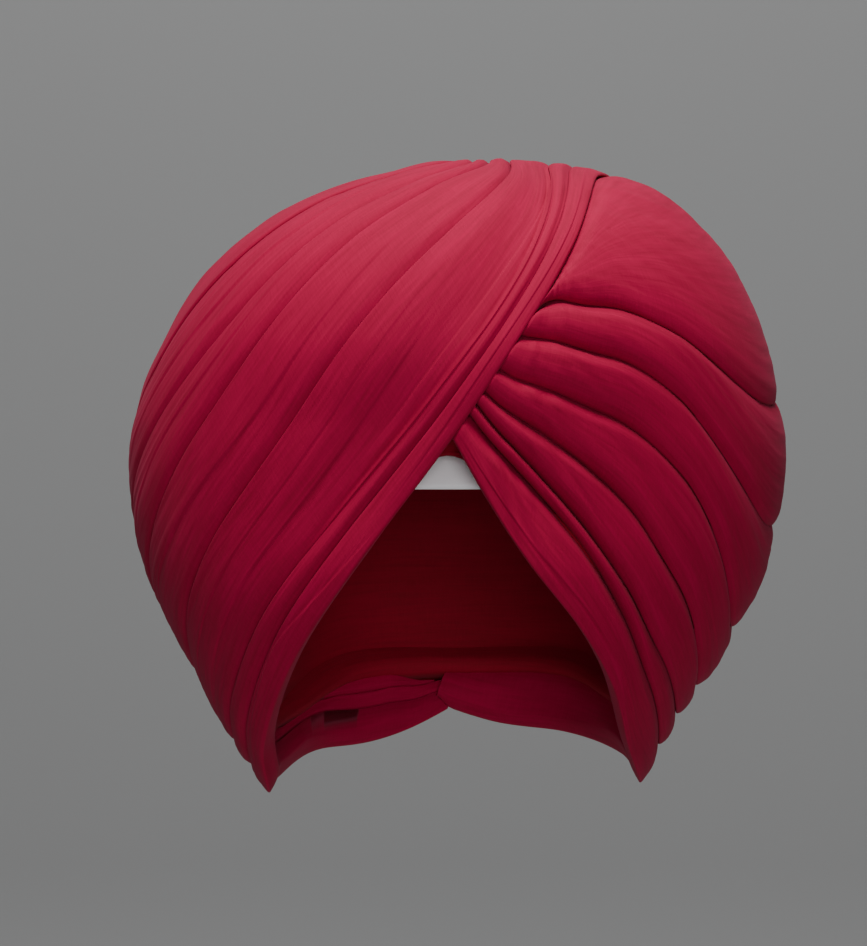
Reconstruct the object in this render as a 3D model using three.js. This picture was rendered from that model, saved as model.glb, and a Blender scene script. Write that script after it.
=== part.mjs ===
// Tied turban of crimson cotton voile over a plain white under-band.
// Millimetres, +Z up, the face opening looks along -Y. The origin is where the crown of the head meets
// the underside of the winding. Azimuths run from the front (0) round by +X (90) to the back (180).
import * as THREE from 'three';

// Head that the turban is wound for
const HEAD_HALF_BREADTH = 72;
const HEAD_FRONT = 94;
const HEAD_BACK = 92;
const HEAD_RISE = 68;
const HEAD_BELOW = 95;
const HEAD_TAPER = 0.12;
const HEAD_ROUNDNESS = 2.6;

// Under-band that shows at the peak of the face opening
const BAND_THICKNESS = 1.5;
const BAND_CLEARANCE = 6;
const BAND_LOW = -47.5;
const BAND_HEIGHT = 34;
const BAND_COLUMNS = 48;

// Bulk of the winding over the head
const CENTRE_DROP = 45;
const SIDE_BULK = 58;
const FRONT_BULK = 34;
const BACK_BULK = 46;
const CROWN_BULK = 85;
const LOWER_REACH = 125;
const RIM_WALL = 6;
const RIM_BLEND = 8;
const RIM_SPACE = 2.5;

// Layers of cloth, as depths below the outer form
const TURN_DEPTH = 9.05;
const LAYER_GAP = 0.55;
const SIDE_ROLL = { rise: 1.5, root: 5, drop: 1.6 };
const SASH_ROLL = { rise: 1, root: 3.2, drop: 1.6 };

// Lengths tucked out of sight under the next turn
const TAIL_LENGTH = 9;
const SHORTEST_TAIL = 0.6;
const TAIL_SHARE = 0.45;
const TAIL_CLEARANCE = 0.9;

// Crossing, where the turns of the right side run in under the sash
const CROSSING_TUCK = 5;
const CROSSING_CLEARANCE = 3.4;
const CROSSING_GAP = 1.9;
const SASH_UNDERSIDE = 4.3;
const SET_BACK = 4;
const EYE_TUCK = 4;
const EYE_COVER = 6;

// Inner turns: their gap to the turns that show, how their lower edge stays back from the opening, and the
// gap from each to the next in degrees
const CORE_GAP = 2;
const CORE_EDGE_WALL = 14;
const CORE_EDGE_BACK = 5;
const CORE_SPLIT = 0.3;
const CORE_COLUMNS = 32;

// Colours
const VOILE = { color: 0xa5122f, roughness: 0.85, metalness: 0 };
const INNER_VOILE = { color: 0x7d0d24, roughness: 0.9, metalness: 0 };
const WHITE_COTTON = { color: 0xe9e6e8, roughness: 0.9, metalness: 0 };

// Places where the sash's near edge peaks over the face, where it starts at the nape, and where the end
// of the cloth is drawn in
const APEX = { azimuth: 359, level: 9 };
const NAPE = { azimuth: 182, level: -47 };
const EYE = { azimuth: 215, level: 40 };

// Outer form: one row a level, each column a share of the bulk on that side
const FORM_ROWS = [
  { level: -62, right: 1.13, front: 1, left: 1.16, back: 0.99 },
  { level: -50, right: 1.02, front: 0.93, left: 1.075, back: 0.985 },
  { level: -35, right: 0.978, front: 0.86, left: 0.998, back: 0.985 },
  { level: -20, right: 0.974, front: 0.82, left: 0.993, back: 0.99 },
  { level: -5, right: 0.99, front: 0.81, left: 0.999, back: 0.995 },
  { level: 10, right: 1.01, front: 0.875, left: 1.006, back: 1 },
  { level: 25, right: 1.035, front: 1, left: 0.998, back: 1.01 },
  { level: 40, right: 1.066, front: 1.06, left: 0.999, back: 1.02 },
  { level: 55, right: 1.074, front: 1.05, left: 0.992, back: 1.02 },
  { level: 70, right: 1.035, front: 1.01, left: 0.962, back: 1 },
  { level: 90, right: 0.975, front: 0.975, left: 0.975, back: 0.975 },
];

// Sash: its near edge runs from the nape under the left ear, up the face and over the crown to the back,
// and its far edge from the back over the left side and the crown to the back of the crown
const SASH_ROWS = [
  { nearAzimuth: NAPE.azimuth, nearLevel: NAPE.level, farAzimuth: 168.3, farLevel: -9.8 },
  { nearAzimuth: 220, nearLevel: -53, farAzimuth: 215, farLevel: -12 },
  { nearAzimuth: 255, nearLevel: -58, farAzimuth: 245, farLevel: -5 },
  { nearAzimuth: 280, nearLevel: -58.5, farAzimuth: 268, farLevel: 5 },
  { nearAzimuth: 298, nearLevel: -50.5, farAzimuth: 280, farLevel: 18 },
  { nearAzimuth: 320, nearLevel: -35, farAzimuth: 290, farLevel: 31 },
  { nearAzimuth: 340, nearLevel: -15, farAzimuth: 301, farLevel: 43 },
  { nearAzimuth: APEX.azimuth, nearLevel: APEX.level, farAzimuth: 315, farLevel: 57 },
  { nearAzimuth: 12, nearLevel: 26, farAzimuth: 332, farLevel: 67 },
  { nearAzimuth: 25, nearLevel: 41, farAzimuth: 355, farLevel: 80 },
  { nearAzimuth: 60, nearLevel: 62, farAzimuth: 170, farLevel: 87 },
  { nearAzimuth: 110, nearLevel: 60, farAzimuth: 173, farLevel: 73 },
  { nearAzimuth: 152, nearLevel: 42, farAzimuth: 178, farLevel: 54 },
];
const CROSSING_ROWS = { start: 6, full: 6.5, fading: 11, end: 11.5 };
const SET_BACK_ROWS = { start: 10.4, full: 11 };

// Folds of the sash: where each ends, as a share of the way from the near edge to the far edge at the
// rows in FOLD_PLACES, and how many more points round out its middle
const FOLD_PLACES = [0, 3.5, 6, 8.4, 10, 12];
const SASH_FOLDS = [
  { name: 'sash_pleat_1', ends: [0.12, 0.07, 0.09, 0.095, 0.19, 0.25], middles: 0 },
  { name: 'sash_pleat_2', ends: [0.22, 0.14, 0.15, 0.16, 0.34, 0.4], middles: 0 },
  { name: 'sash_fold_1', ends: [0.42, 0.35, 0.42, 0.5, 0.62, 0.58], middles: 2 },
  { name: 'sash_fold_2', ends: [0.63, 0.58, 0.64, 0.72, 0.76, 0.73], middles: 1 },
  { name: 'sash_fold_3', ends: [0.8, 0.78, 0.77, 0.82, 0.88, 0.86], middles: 0 },
  { name: 'sash_fold_4', ends: [1, 1, 1, 1, 1, 1], middles: 1 },
];
const TUCK_MIDDLES = 2;

// Inner turns, as shares of the way from the lower edge up to the crown
const INNER_TURNS = [
  { name: 'inner_turn_1', from: 0, to: 0.25, rings: 2 },
  { name: 'inner_turn_2', from: 0.25, to: 0.5, rings: 2 },
  { name: 'inner_turn_3', from: 0.5, to: 0.75, rings: 2 },
  { name: 'inner_turn_4', from: 0.75, to: 1, rings: 2 },
];

// Right side: the rim of the opening below the turns, and the row of the sash whose near edge is above
const SIDE_ROWS = [
  { rimAzimuth: APEX.azimuth - 360, rimLevel: APEX.level, sashRow: 8.4 },
  { rimAzimuth: 6, rimLevel: -3, sashRow: 8.6 },
  { rimAzimuth: 15, rimLevel: -16, sashRow: 8.8 },
  { rimAzimuth: 28, rimLevel: -29, sashRow: 9 },
  { rimAzimuth: 40, rimLevel: -40, sashRow: 9.25 },
  { rimAzimuth: 56, rimLevel: -52, sashRow: 9.5 },
  { rimAzimuth: 85, rimLevel: -58.5, sashRow: 10 },
  { rimAzimuth: 120, rimLevel: -55, sashRow: 10.6 },
  { rimAzimuth: 150, rimLevel: -50, sashRow: 11.2 },
  { rimAzimuth: NAPE.azimuth, rimLevel: NAPE.level, sashRow: 12 },
];

// Turns of the right side: where each ends, as a share of the way from the rim to the sash at the rows
// in WRAP_PLACES, and how many more points round out its middle
const WRAP_PLACES = [0, 2, 4, 5, 6, 7.5, 9];
const SIDE_WRAPS = [
  { name: 'wrap_1', ends: [0.2, 0.265, 0.165, 0.12, 0.055, 0.09, 0.12], middles: 0 },
  { name: 'wrap_2', ends: [0.28, 0.33, 0.23, 0.18, 0.105, 0.16, 0.24], middles: 0 },
  { name: 'wrap_3', ends: [0.37, 0.475, 0.41, 0.32, 0.16, 0.25, 0.36], middles: 0 },
  { name: 'wrap_4', ends: [0.53, 0.62, 0.585, 0.51, 0.27, 0.37, 0.5], middles: 1 },
  { name: 'wrap_5', ends: [0.76, 0.77, 0.71, 0.64, 0.43, 0.51, 0.64], middles: 1 },
  { name: 'wrap_6', ends: [0.95, 0.9, 0.815, 0.75, 0.6, 0.67, 0.8], middles: 1 },
  { name: 'wrap_7', ends: [1, 1, 1, 1, 1, 1, 1], middles: 4 },
];

// Outer face of a turn inward from a lip that lies on top, and from a root that is tucked in: the place
// as a share of the turn's width and the height as a share of its rise
const LIP_ROWS = [
  { share: 0, rise: -1.05 },
  { share: 0.1, rise: 0.3 },
  { share: 0.32, rise: 1 },
];
const ROOT_ROWS = [
  { share: 0.14, rise: -1.6 },
  { share: 0.38, rise: 0.35 },
];
const MIDDLE_RISE = 0.8;

// Rows from each end of a family over which it is pressed flat or lifted, and after which it is free
const SIDE_START = { full: 0.28, free: 0.7 };
const SIDE_FINISH = { full: 0.08, free: 0.32 };
const SASH_START = { full: 0.25, free: 0.5 };
const SASH_FINISH = { full: 0.2, free: 0.5, covered: 0.07 };
const NEAR_BY = 0.01;
const ZENITH = 90;

// How finely the strips are divided: the rows of the sash and of the right side, which are closer together
// from one row on, and the points on the crown tuck's two free edges
const ROW_STEP = 1 / 2;
const SIDE_FIRST_ROW = 1;
const SIDE_CLOSER_FROM = 4;
const SIDE_CLOSER_STEP = 1 / 3;
const SASH_END_SHARES = [2 / 3, 1 / 3, 0];
const BACK_LINE_SHARES = [1 / 4, 1 / 2, 3 / 4];

// Halvings in the search for the head's surface, and decimals to which points are the same
const SEARCH_HALVINGS = 40;
const POINT_DECIMALS = 3;

const CENTRE = new THREE.Vector3(0, 0, -CENTRE_DROP);
const LINING = BAND_THICKNESS + BAND_CLEARANCE;
const HEAD_MIDDLE = -LINING - HEAD_RISE;
const HALF_WIDTH = HEAD_HALF_BREADTH + SIDE_BULK;
const FRONT_REACH = HEAD_FRONT + FRONT_BULK;
const BACK_REACH = HEAD_BACK + BACK_BULK;
const CROWN_REACH = CENTRE_DROP + CROWN_BULK;
const MEAN_REACH = (HALF_WIDTH + FRONT_REACH + BACK_REACH + CROWN_REACH) / 4;
const CORE_DEPTH = TURN_DEPTH + CORE_GAP;
const TUCKED_TOP = SASH_UNDERSIDE + CROSSING_GAP;

const lerp = THREE.MathUtils.lerp;
const rad = THREE.MathUtils.degToRad;
const ramp = THREE.MathUtils.smoothstep;

/** Unit vector at an azimuth and a level above the horizontal, both in degrees. */
function aim(azimuth, level) {
  const a = rad(azimuth);
  const l = rad(level);
  return new THREE.Vector3(Math.sin(a) * Math.cos(l), -Math.cos(a) * Math.cos(l), Math.sin(l));
}

/** Smooth value at x through the values ys that stand at the places xs. */
function smoothAt(xs, ys, x) {
  const last = xs.length - 1;
  const at = Math.min(Math.max(x, xs[0]), xs[last]);
  let i = 0;
  while (i < last - 1 && at >= xs[i + 1]) i += 1;
  const secant = (k) => (ys[k + 1] - ys[k]) / (xs[k + 1] - xs[k]);
  const slope = (k) => {
    if (k === 0) return secant(0);
    if (k === last) return secant(last - 1);
    const before = xs[k] - xs[k - 1];
    const after = xs[k + 1] - xs[k];
    return (secant(k - 1) * after + secant(k) * before) / (before + after);
  };
  const span = xs[i + 1] - xs[i];
  const t = (at - xs[i]) / span;
  const start = (1 + 2 * t) * (1 - t) ** 2 * ys[i] + t * (1 - t) ** 2 * span * slope(i);
  const end = t * t * (3 - 2 * t) * ys[i + 1] + t * t * (t - 1) * span * slope(i + 1);
  return start + end;
}

/** Unit vector at a row number along a list of unit vectors. */
function smoothAim(vectors, row) {
  const rows = vectors.map((vector, index) => index);
  const part = (key) => smoothAt(rows, vectors.map((vector) => vector[key]), row);
  return new THREE.Vector3(part('x'), part('y'), part('z')).normalize();
}

/** Unit vector a share of the way from one unit vector to another, and beyond either. */
function turnTo(from, to, share) {
  const angle = from.angleTo(to);
  const start = Math.sin((1 - share) * angle);
  const end = Math.sin(share * angle);
  return from.clone().multiplyScalar(start).addScaledVector(to, end).normalize();
}

/** Whether a point lies inside the head. */
function insideHead(point) {
  const below = Math.max(HEAD_MIDDLE - point.z, 0);
  const above = Math.max(point.z - HEAD_MIDDLE, 0) / HEAD_RISE;
  const taper = 1 - (HEAD_TAPER * below) / HEAD_BELOW;
  const breadth = Math.abs(point.x) / (HEAD_HALF_BREADTH * taper);
  const length = Math.abs(point.y) / ((point.y < 0 ? HEAD_FRONT : HEAD_BACK) * taper);
  return breadth ** HEAD_ROUNDNESS + length ** HEAD_ROUNDNESS + above ** HEAD_ROUNDNESS < 1;
}

/** Distance from a point inside the head to its surface along a unit vector. */
function headReach(direction, from = CENTRE) {
  let near = 0;
  let far = HALF_WIDTH + BACK_REACH + CROWN_REACH;
  for (let halving = 0; halving < SEARCH_HALVINGS; halving += 1) {
    const middle = (near + far) / 2;
    if (insideHead(from.clone().addScaledVector(direction, middle))) near = middle;
    else far = middle;
  }
  return near;
}

/** Distance from the centre to the outer form: the bulk by its rows, never thinner than the rim. */
function formReach(direction) {
  const scaled = new THREE.Vector3(
    direction.x / HALF_WIDTH,
    direction.y / (direction.y < 0 ? FRONT_REACH : BACK_REACH),
    direction.z / (direction.z > 0 ? CROWN_REACH : LOWER_REACH),
  );
  const stretch = scaled.length();
  const level = THREE.MathUtils.radToDeg(Math.asin(scaled.z / stretch));
  const azimuth = Math.atan2(scaled.x, -scaled.y);
  const levels = FORM_ROWS.map((row) => row.level);
  const column = (key) => smoothAt(levels, FORM_ROWS.map((row) => row[key]), level);
  const across = Math.sin(azimuth);
  const along = Math.cos(azimuth);
  const side = across > 0 ? column('right') : column('left');
  const face = along > 0 ? column('front') : column('back');
  const bulk = (side * across * across + face * along * along) / stretch;
  const rim = headReach(direction) + RIM_WALL;
  return (bulk + rim + Math.hypot(bulk - rim, RIM_BLEND)) / 2;
}

/** Point at a height over the outer form. Depths shrink where the wall over the head is thin. */
function overForm(direction, height) {
  const reach = formReach(direction);
  const wall = reach - headReach(direction) - RIM_SPACE;
  const squeeze = height < 0 ? Math.min(1, wall / TURN_DEPTH) : 1;
  return CENTRE.clone().addScaledVector(direction, reach + height * squeeze);
}

/** Point at a height over the head. */
function overHead(direction, height) {
  return CENTRE.clone().addScaledVector(direction, headReach(direction) + height);
}

const SASH_NEAR = SASH_ROWS.map((row) => aim(row.nearAzimuth, row.nearLevel));
const SASH_FAR = SASH_ROWS.map((row) => aim(row.farAzimuth, row.farLevel));
const SIDE_RIM = SIDE_ROWS.map((row) => aim(row.rimAzimuth, row.rimLevel));
const SASH_END = SASH_ROWS.length - 1;
const SIDE_END = SIDE_ROWS.length - 1;
const EYE_AIM = aim(EYE.azimuth, EYE.level);

/** Unit vector on the sash: row along it, share across it from the near edge to the far edge. */
function sashAim(row, share) {
  return turnTo(smoothAim(SASH_NEAR, row), smoothAim(SASH_FAR, row), share);
}

/** Unit vector on the right side: row round the head, share up from the rim to the sash. */
function sideAim(row, share) {
  const within = Math.min(Math.max(row, 0), SIDE_END);
  const low = smoothAim(SIDE_RIM, within);
  const high = smoothAim(SASH_NEAR, sashRowAt(within));
  const tucked = ((within - row) * CROSSING_TUCK) / MEAN_REACH;
  const inward = new THREE.Vector3().crossVectors(low, high).normalize();
  return turnTo(low, high, share).multiplyScalar(Math.cos(tucked)).addScaledVector(inward, Math.sin(tucked));
}

/** Geometry of points and faces, with equal points merged, empty faces dropped and faces turned out. */
function solidFrom(points, faces) {
  const seen = new Map();
  const merged = [];
  const index = points.map((point) => {
    const key = point.toArray().map((value) => value.toFixed(POINT_DECIMALS)).join(' ');
    if (!seen.has(key)) {
      seen.set(key, merged.length);
      merged.push(point);
    }
    return seen.get(key);
  });
  const kept = faces
    .map((face) => face.map((corner) => index[corner]))
    .filter(([a, b, c]) => a !== b && b !== c && c !== a);
  const volume = kept.reduce((sum, [a, b, c]) => {
    return sum + merged[a].dot(new THREE.Vector3().crossVectors(merged[b], merged[c]));
  }, 0);
  const outward = volume < 0 ? kept.map(([a, b, c]) => [a, c, b]) : kept;
  const geometry = new THREE.BufferGeometry();
  const values = merged.flatMap((point) => point.toArray());
  geometry.setAttribute('position', new THREE.Float32BufferAttribute(values, 3));
  geometry.setIndex(outward.flat());
  geometry.computeVertexNormals();
  return geometry;
}

/** Two faces of the skin between point j of section i and the points after it, in sections of count. */
function skinFaces(i, next, j, count, falls = false) {
  const k = (j + 1) % count;
  const [a, b, c, d] = [i * count + j, i * count + k, next * count + k, next * count + j];
  return falls ? [[a, b, d], [b, c, d]] : [[a, b, c], [a, c, d]];
}

/** Faces of the skin of a ring of sections with count points in each. */
function ringFaces(sections, count) {
  const faces = [];
  for (let i = 0; i < sections; i += 1) {
    for (let j = 0; j < count; j += 1) faces.push(...skinFaces(i, (i + 1) % sections, j, count));
  }
  return faces;
}

/** Faces of the skin through sections of cloth, with neighbours' facets split the same way. */
function clothFaces(sections, steps) {
  const count = sections[0].length;
  const faces = [];
  for (let i = 0; i < steps; i += 1) {
    for (let j = 0; j < count; j += 1) {
      const falls = sections[i][(j + 1) % count].share < sections[i][j].share;
      faces.push(...skinFaces(i, (i + 1) % sections.length, j, count, falls));
    }
  }
  return faces;
}

/** Closed strip of cloth through sections at rows. A section is a list of { share, height } round it. */
function stripSolid(rows, sectionAt, aimAt) {
  const sections = rows.map(sectionAt);
  const count = sections[0].length;
  const points = sections.flatMap((section, i) => {
    return section.map(({ share, height }) => overForm(aimAt(rows[i], share), height));
  });
  const faces = clothFaces(sections, rows.length - 1);
  for (const end of [0, rows.length - 1]) {
    const width = aimAt(rows[end], 0).angleTo(aimAt(rows[end], 1)) * MEAN_REACH;
    const outline = sections[end].map(({ share, height }) => new THREE.Vector2(share * width, height));
    for (const corners of THREE.ShapeUtils.triangulateShape(outline, [])) {
      const [a, b, c] = corners.sort((one, other) => one - other).map((corner) => end * count + corner);
      faces.push(end === 0 ? [c, b, a] : [a, b, c]);
    }
  }
  return solidFrom(points, faces);
}

/** Rows from one row up to but not including another, about a step apart. */
function spread(from, to, step) {
  const count = Math.round((to - from) / step);
  return Array.from({ length: count }, (unused, i) => lerp(from, to, i / count));
}

/** Outer face of a turn from one edge to the other, as { share, height } of its width. */
function outerFace(lowKind, highKind, roll, lowRoot, highRoot, middles) {
  const half = (kind, root) => {
    const rows = kind === 'root' ? ROOT_ROWS : LIP_ROWS;
    const face = rows.map(({ share, rise }) => ({ share, height: rise * roll.rise }));
    return kind === 'root' ? [{ share: 0, height: -root }, ...face] : face;
  };
  const start = half(lowKind, lowRoot);
  const end = half(highKind, highRoot).map(({ share, height }) => ({ share: 1 - share, height }));
  const from = start[start.length - 1].share;
  const to = end[end.length - 1].share;
  const between = Array.from({ length: middles }, (unused, i) => {
    return { share: lerp(from, to, (i + 1) / (middles + 1)), height: roll.rise * MIDDLE_RISE };
  });
  return [...start, ...between, ...end.reverse()];
}

/** Length in mm of a tail tucked under a covering turn of a width in mm. */
function tailUnder(width, room = TAIL_LENGTH) {
  return Math.max(Math.min(TAIL_LENGTH, TAIL_SHARE * width, room), SHORTEST_TAIL);
}

/**
 * Section of a turn as a list of { share, height } round it. An edge is { at, kind, tail, root }: at is
 * its share across the family; kind is 'lip' where it lies over its neighbour's root, 'root' where it is
 * tucked under it, 'rim' on the head and 'crossing' over the right side's turns; tail is the tucked
 * length in mm and root the depth where the tuck starts. The bed is the height of the underside.
 */
function turnSection({ low, high, width, roll, bed, middles, bare }) {
  const face = outerFace(low.kind, high.kind, roll, low.root, high.root, middles);
  const outer = face.map(({ share, height }) => ({ share: lerp(low.at, high.at, share), height }));
  const side = (edge, sign) => {
    const inward = (length) => edge.at + (sign * length) / width;
    const floor = (length) => ({ share: inward(length), height: bed, bedded: true });
    if (edge.kind === 'root') {
      return [{ share: inward(-edge.tail), height: -edge.root - roll.drop }, floor(-edge.tail)];
    }
    if (edge.kind === 'lip') {
      return [
        { share: edge.at, height: -edge.root, gap: LAYER_GAP },
        { share: inward(edge.tail), height: -edge.root - roll.drop, gap: LAYER_GAP },
        floor(edge.tail + TAIL_CLEARANCE),
      ];
    }
    if (edge.kind === 'crossing') {
      return [
        { share: edge.at, height: -edge.root, bedded: true },
        { share: inward(CROSSING_TUCK + CROSSING_CLEARANCE), height: -edge.root, bedded: true },
      ];
    }
    return [floor(0)];
  };
  const right = side(high, -1);
  const left = side(low, 1).reverse();
  const from = right[right.length - 1].share;
  const to = left[0].share;
  const under = Array.from({ length: bare ? 0 : middles + 1 }, (unused, i) => {
    return { share: lerp(from, to, (i + 1) / (middles + 2)), height: bed, bedded: true };
  });
  return [...outer, ...right, ...under, ...left];
}

/** Share across a family at which one of its pieces ends, at a row. */
function endShare(pieces, places, index, row) {
  return index < 0 ? 0 : smoothAt(places, pieces[Math.min(index, pieces.length - 1)].ends, row);
}

/** Height in a turn that is pressed flat by a share, from 0 to 1, where it runs in under another. */
function pressedHeight(height, press, roll) {
  const flat = (TURN_DEPTH - TUCKED_TOP) / (TURN_DEPTH + roll.rise);
  return lerp(1, flat, press) * (height + TURN_DEPTH) - TURN_DEPTH;
}

/** Height in the sash, which is lifted by a share where it lies over the ends of the side's turns. */
function liftedHeight(height, lift) {
  const thin = (SASH_UNDERSIDE + SASH_ROLL.rise) / (TURN_DEPTH + SASH_ROLL.rise);
  return lerp(height, thin * (height + TURN_DEPTH) - SASH_UNDERSIDE, lift);
}

/** How far the side's turns are pressed flat at a row, from 0 to 1. */
function sidePress(row) {
  const start = ramp(row, SIDE_START.full, SIDE_START.free);
  return 1 - start * ramp(SIDE_END - row, SIDE_FINISH.full, SIDE_FINISH.free);
}

/** How far the sash is lifted at a row, from 0 to 1. */
function sashLift(row) {
  return 1 - ramp(row, SASH_START.full, SASH_START.free);
}

/** How far the sash is pressed flat at a row, from 0 to 1. */
function sashPress(row) {
  return 1 - ramp(SASH_END - row, SASH_FINISH.full, SASH_FINISH.free);
}

/** Row of the sash whose near edge is above a row of the right side. */
function sashRowAt(row) {
  return smoothAt(SIDE_ROWS.map((entry, index) => index), SIDE_ROWS.map((entry) => entry.sashRow), row);
}

/** One turn of the right side, over the one below it and tucked under the one above it or the sash. */
function sideWrap(index) {
  const topmost = index === SIDE_WRAPS.length - 1;
  const sectionAt = (row) => {
    const within = Math.min(Math.max(row, 0), SIDE_END);
    const width = sideAim(within, 0).angleTo(sideAim(within, 1)) * MEAN_REACH;
    const [low, high, above] = [index - 1, index, index + 1].map((i) => {
      return endShare(SIDE_WRAPS, WRAP_PLACES, i, within);
    });
    const setBack = topmost ? ramp(sashRowAt(within), SET_BACK_ROWS.start, SET_BACK_ROWS.full) : 0;
    const section = turnSection({
      low: {
        at: low,
        kind: index === 0 ? 'rim' : 'lip',
        tail: tailUnder((high - low) * width),
        root: SIDE_ROLL.root,
      },
      high: {
        at: high - (setBack * SET_BACK) / width,
        kind: 'root',
        tail: topmost ? CROSSING_TUCK * (1 - setBack) : tailUnder((above - high) * width),
        root: topmost ? TUCKED_TOP : SIDE_ROLL.root,
      },
      width,
      roll: SIDE_ROLL,
      bed: -TURN_DEPTH,
      middles: SIDE_WRAPS[index].middles,
    });
    const press = sidePress(row);
    return section.map(({ share, height, gap = 0 }) => {
      return { share, height: pressedHeight(height, press, SIDE_ROLL) + gap };
    });
  };
  const rows = [
    -1,
    SIDE_START.full,
    SIDE_START.free,
    ...spread(SIDE_FIRST_ROW, SIDE_CLOSER_FROM, ROW_STEP),
    ...spread(SIDE_CLOSER_FROM, SIDE_END - SIDE_FINISH.free, SIDE_CLOSER_STEP),
    SIDE_END - SIDE_FINISH.free,
    SIDE_END - SIDE_FINISH.full,
    SIDE_END + 1,
  ];
  return stripSolid(rows, sectionAt, sideAim);
}

/** Rows of the sash that carry its points. */
function sashRows() {
  return [
    0,
    SASH_START.full,
    ...spread(SASH_START.free, SASH_END - SASH_FINISH.free, ROW_STEP),
    SASH_END - SASH_FINISH.free,
    SASH_END - SASH_FINISH.full,
    SASH_END,
  ];
}

/** One fold of the sash, over the next one away from the face and tucked under the one before it. */
function sashFold(index) {
  const nearest = index === 0;
  const farthest = index === SASH_FOLDS.length - 1;
  const sectionAt = (row) => {
    const width = sashAim(row, 0).angleTo(sashAim(row, 1)) * MEAN_REACH;
    const [before, low, high] = [index - 2, index - 1, index].map((i) => {
      return endShare(SASH_FOLDS, FOLD_PLACES, i, row);
    });
    const lift = sashLift(row);
    const underside = (share) => lerp(TURN_DEPTH, SASH_UNDERSIDE, share);
    const room = (share) => share * width - CROSSING_TUCK - CROSSING_CLEARANCE - TAIL_CLEARANCE;
    const lowTail = tailUnder((low - before) * width, index === 1 ? room(low) : TAIL_LENGTH);
    const highTail = tailUnder((high - low) * width, nearest ? room(high) : TAIL_LENGTH);
    const over = ramp(row, CROSSING_ROWS.start, CROSSING_ROWS.full);
    const crossing = Math.max(lift, over - ramp(row, CROSSING_ROWS.fading, CROSSING_ROWS.end));
    const section = turnSection({
      low: nearest
        ? { at: 0, kind: 'crossing', root: underside(crossing) }
        : { at: low, kind: 'root', tail: lowTail, root: SASH_ROLL.root },
      high: {
        at: high,
        kind: farthest ? 'root' : 'lip',
        tail: farthest ? EYE_TUCK : highTail,
        root: SASH_ROLL.root,
      },
      width,
      roll: SASH_ROLL,
      bed: -underside(lift),
      middles: SASH_FOLDS[index].middles,
      bare: nearest,
    });
    const press = sashPress(row);
    return section.map(({ share, height, gap = 0, bedded }) => {
      const free = bedded ? height : liftedHeight(height, lift);
      return { share, height: pressedHeight(free, press, SASH_ROLL) + gap };
    });
  };
  return stripSolid(sashRows(), sectionAt, sashAim);
}

/** Edge of the crown tuck: along the sash's far edge, over the sash's end and down to its start. */
function tuckEdge() {
  const cover = SASH_END - SASH_FINISH.covered;
  const along = [...sashRows().slice(0, -1), cover];
  return [
    ...along.map((row) => ({ direction: smoothAim(SASH_FAR, row), lift: sashLift(row) })),
    ...SASH_END_SHARES.map((share) => ({ direction: sashAim(cover, share), lift: 0 })),
    ...BACK_LINE_SHARES.map((share) => {
      return { direction: turnTo(SASH_NEAR[SASH_END], SASH_FAR[0], share), lift: 0 };
    }),
  ];
}

/** End of the cloth, spread over the back of the crown, over all its neighbours, and drawn in to the eye. */
function crownTuck() {
  const edge = tuckEdge();
  const sections = edge.map(({ direction, lift }, i) => {
    const width = direction.angleTo(EYE_AIM) * MEAN_REACH;
    const next = edge[(i + 1) % edge.length].direction;
    const before = edge[(i + edge.length - 1) % edge.length].direction;
    const inward = turnTo(direction, EYE_AIM, NEAR_BY).sub(direction);
    const slant = Math.sin(next.clone().sub(before).angleTo(inward));
    const section = turnSection({
      low: { at: 0, kind: 'lip', tail: Math.min(EYE_COVER / slant, width / 2), root: SASH_ROLL.root },
      high: { at: 1, kind: 'rim' },
      width,
      roll: SASH_ROLL,
      bed: -SASH_UNDERSIDE,
      middles: TUCK_MIDDLES,
    });
    return section.map(({ share, height, gap = 0, bedded }) => {
      const raised = bedded ? height : liftedHeight(height, lift * Math.max(1 - share, 0)) + gap;
      return { direction: turnTo(direction, EYE_AIM, share), share, height: raised };
    });
  });
  const points = sections.flat().map(({ direction, height }) => overForm(direction, height));
  return solidFrom(points, clothFaces(sections, sections.length));
}

/** Level of the rim of the opening at an azimuth from the apex round to the apex again. */
function rimLevel(azimuth) {
  const left = SASH_ROWS.filter((row) => row.nearAzimuth > NAPE.azimuth);
  const azimuths = [...SIDE_ROWS.map((row) => row.rimAzimuth), ...left.map((row) => row.nearAzimuth)];
  const levels = [...SIDE_ROWS.map((row) => row.rimLevel), ...left.map((row) => row.nearLevel)];
  return smoothAt(azimuths, levels, azimuth);
}

/** Level in degrees of the lower edge of the inner turns at an azimuth. */
function coreEdge(azimuth) {
  const wall = (level) => formReach(aim(azimuth, level)) - headReach(aim(azimuth, level));
  let edge = rimLevel(azimuth) + CORE_EDGE_BACK;
  while (edge < ZENITH && wall(edge) < CORE_EDGE_WALL) edge += 1;
  return edge;
}

/** One of the earlier turns: a thick ring from the head to the underside of the turns that show. */
function innerTurn({ from, to, rings }) {
  const points = [];
  for (let column = 0; column < CORE_COLUMNS; column += 1) {
    const azimuth = APEX.azimuth + (column * 360) / CORE_COLUMNS;
    const edge = coreEdge(azimuth - 360);
    const low = lerp(edge, ZENITH, from) + (from > 0 ? CORE_SPLIT / 2 : 0);
    const high = lerp(edge, ZENITH, to) - (to < 1 ? CORE_SPLIT / 2 : 0);
    const levels = Array.from({ length: rings + 1 }, (unused, i) => lerp(low, high, i / rings));
    const outer = levels.map((level) => overForm(aim(azimuth, level), -CORE_DEPTH));
    const inner = levels.map((level) => overHead(aim(azimuth, level), LINING));
    points.push(...outer, ...inner.reverse());
  }
  return solidFrom(points, ringFaces(CORE_COLUMNS, 2 * (rings + 1)));
}

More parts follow.
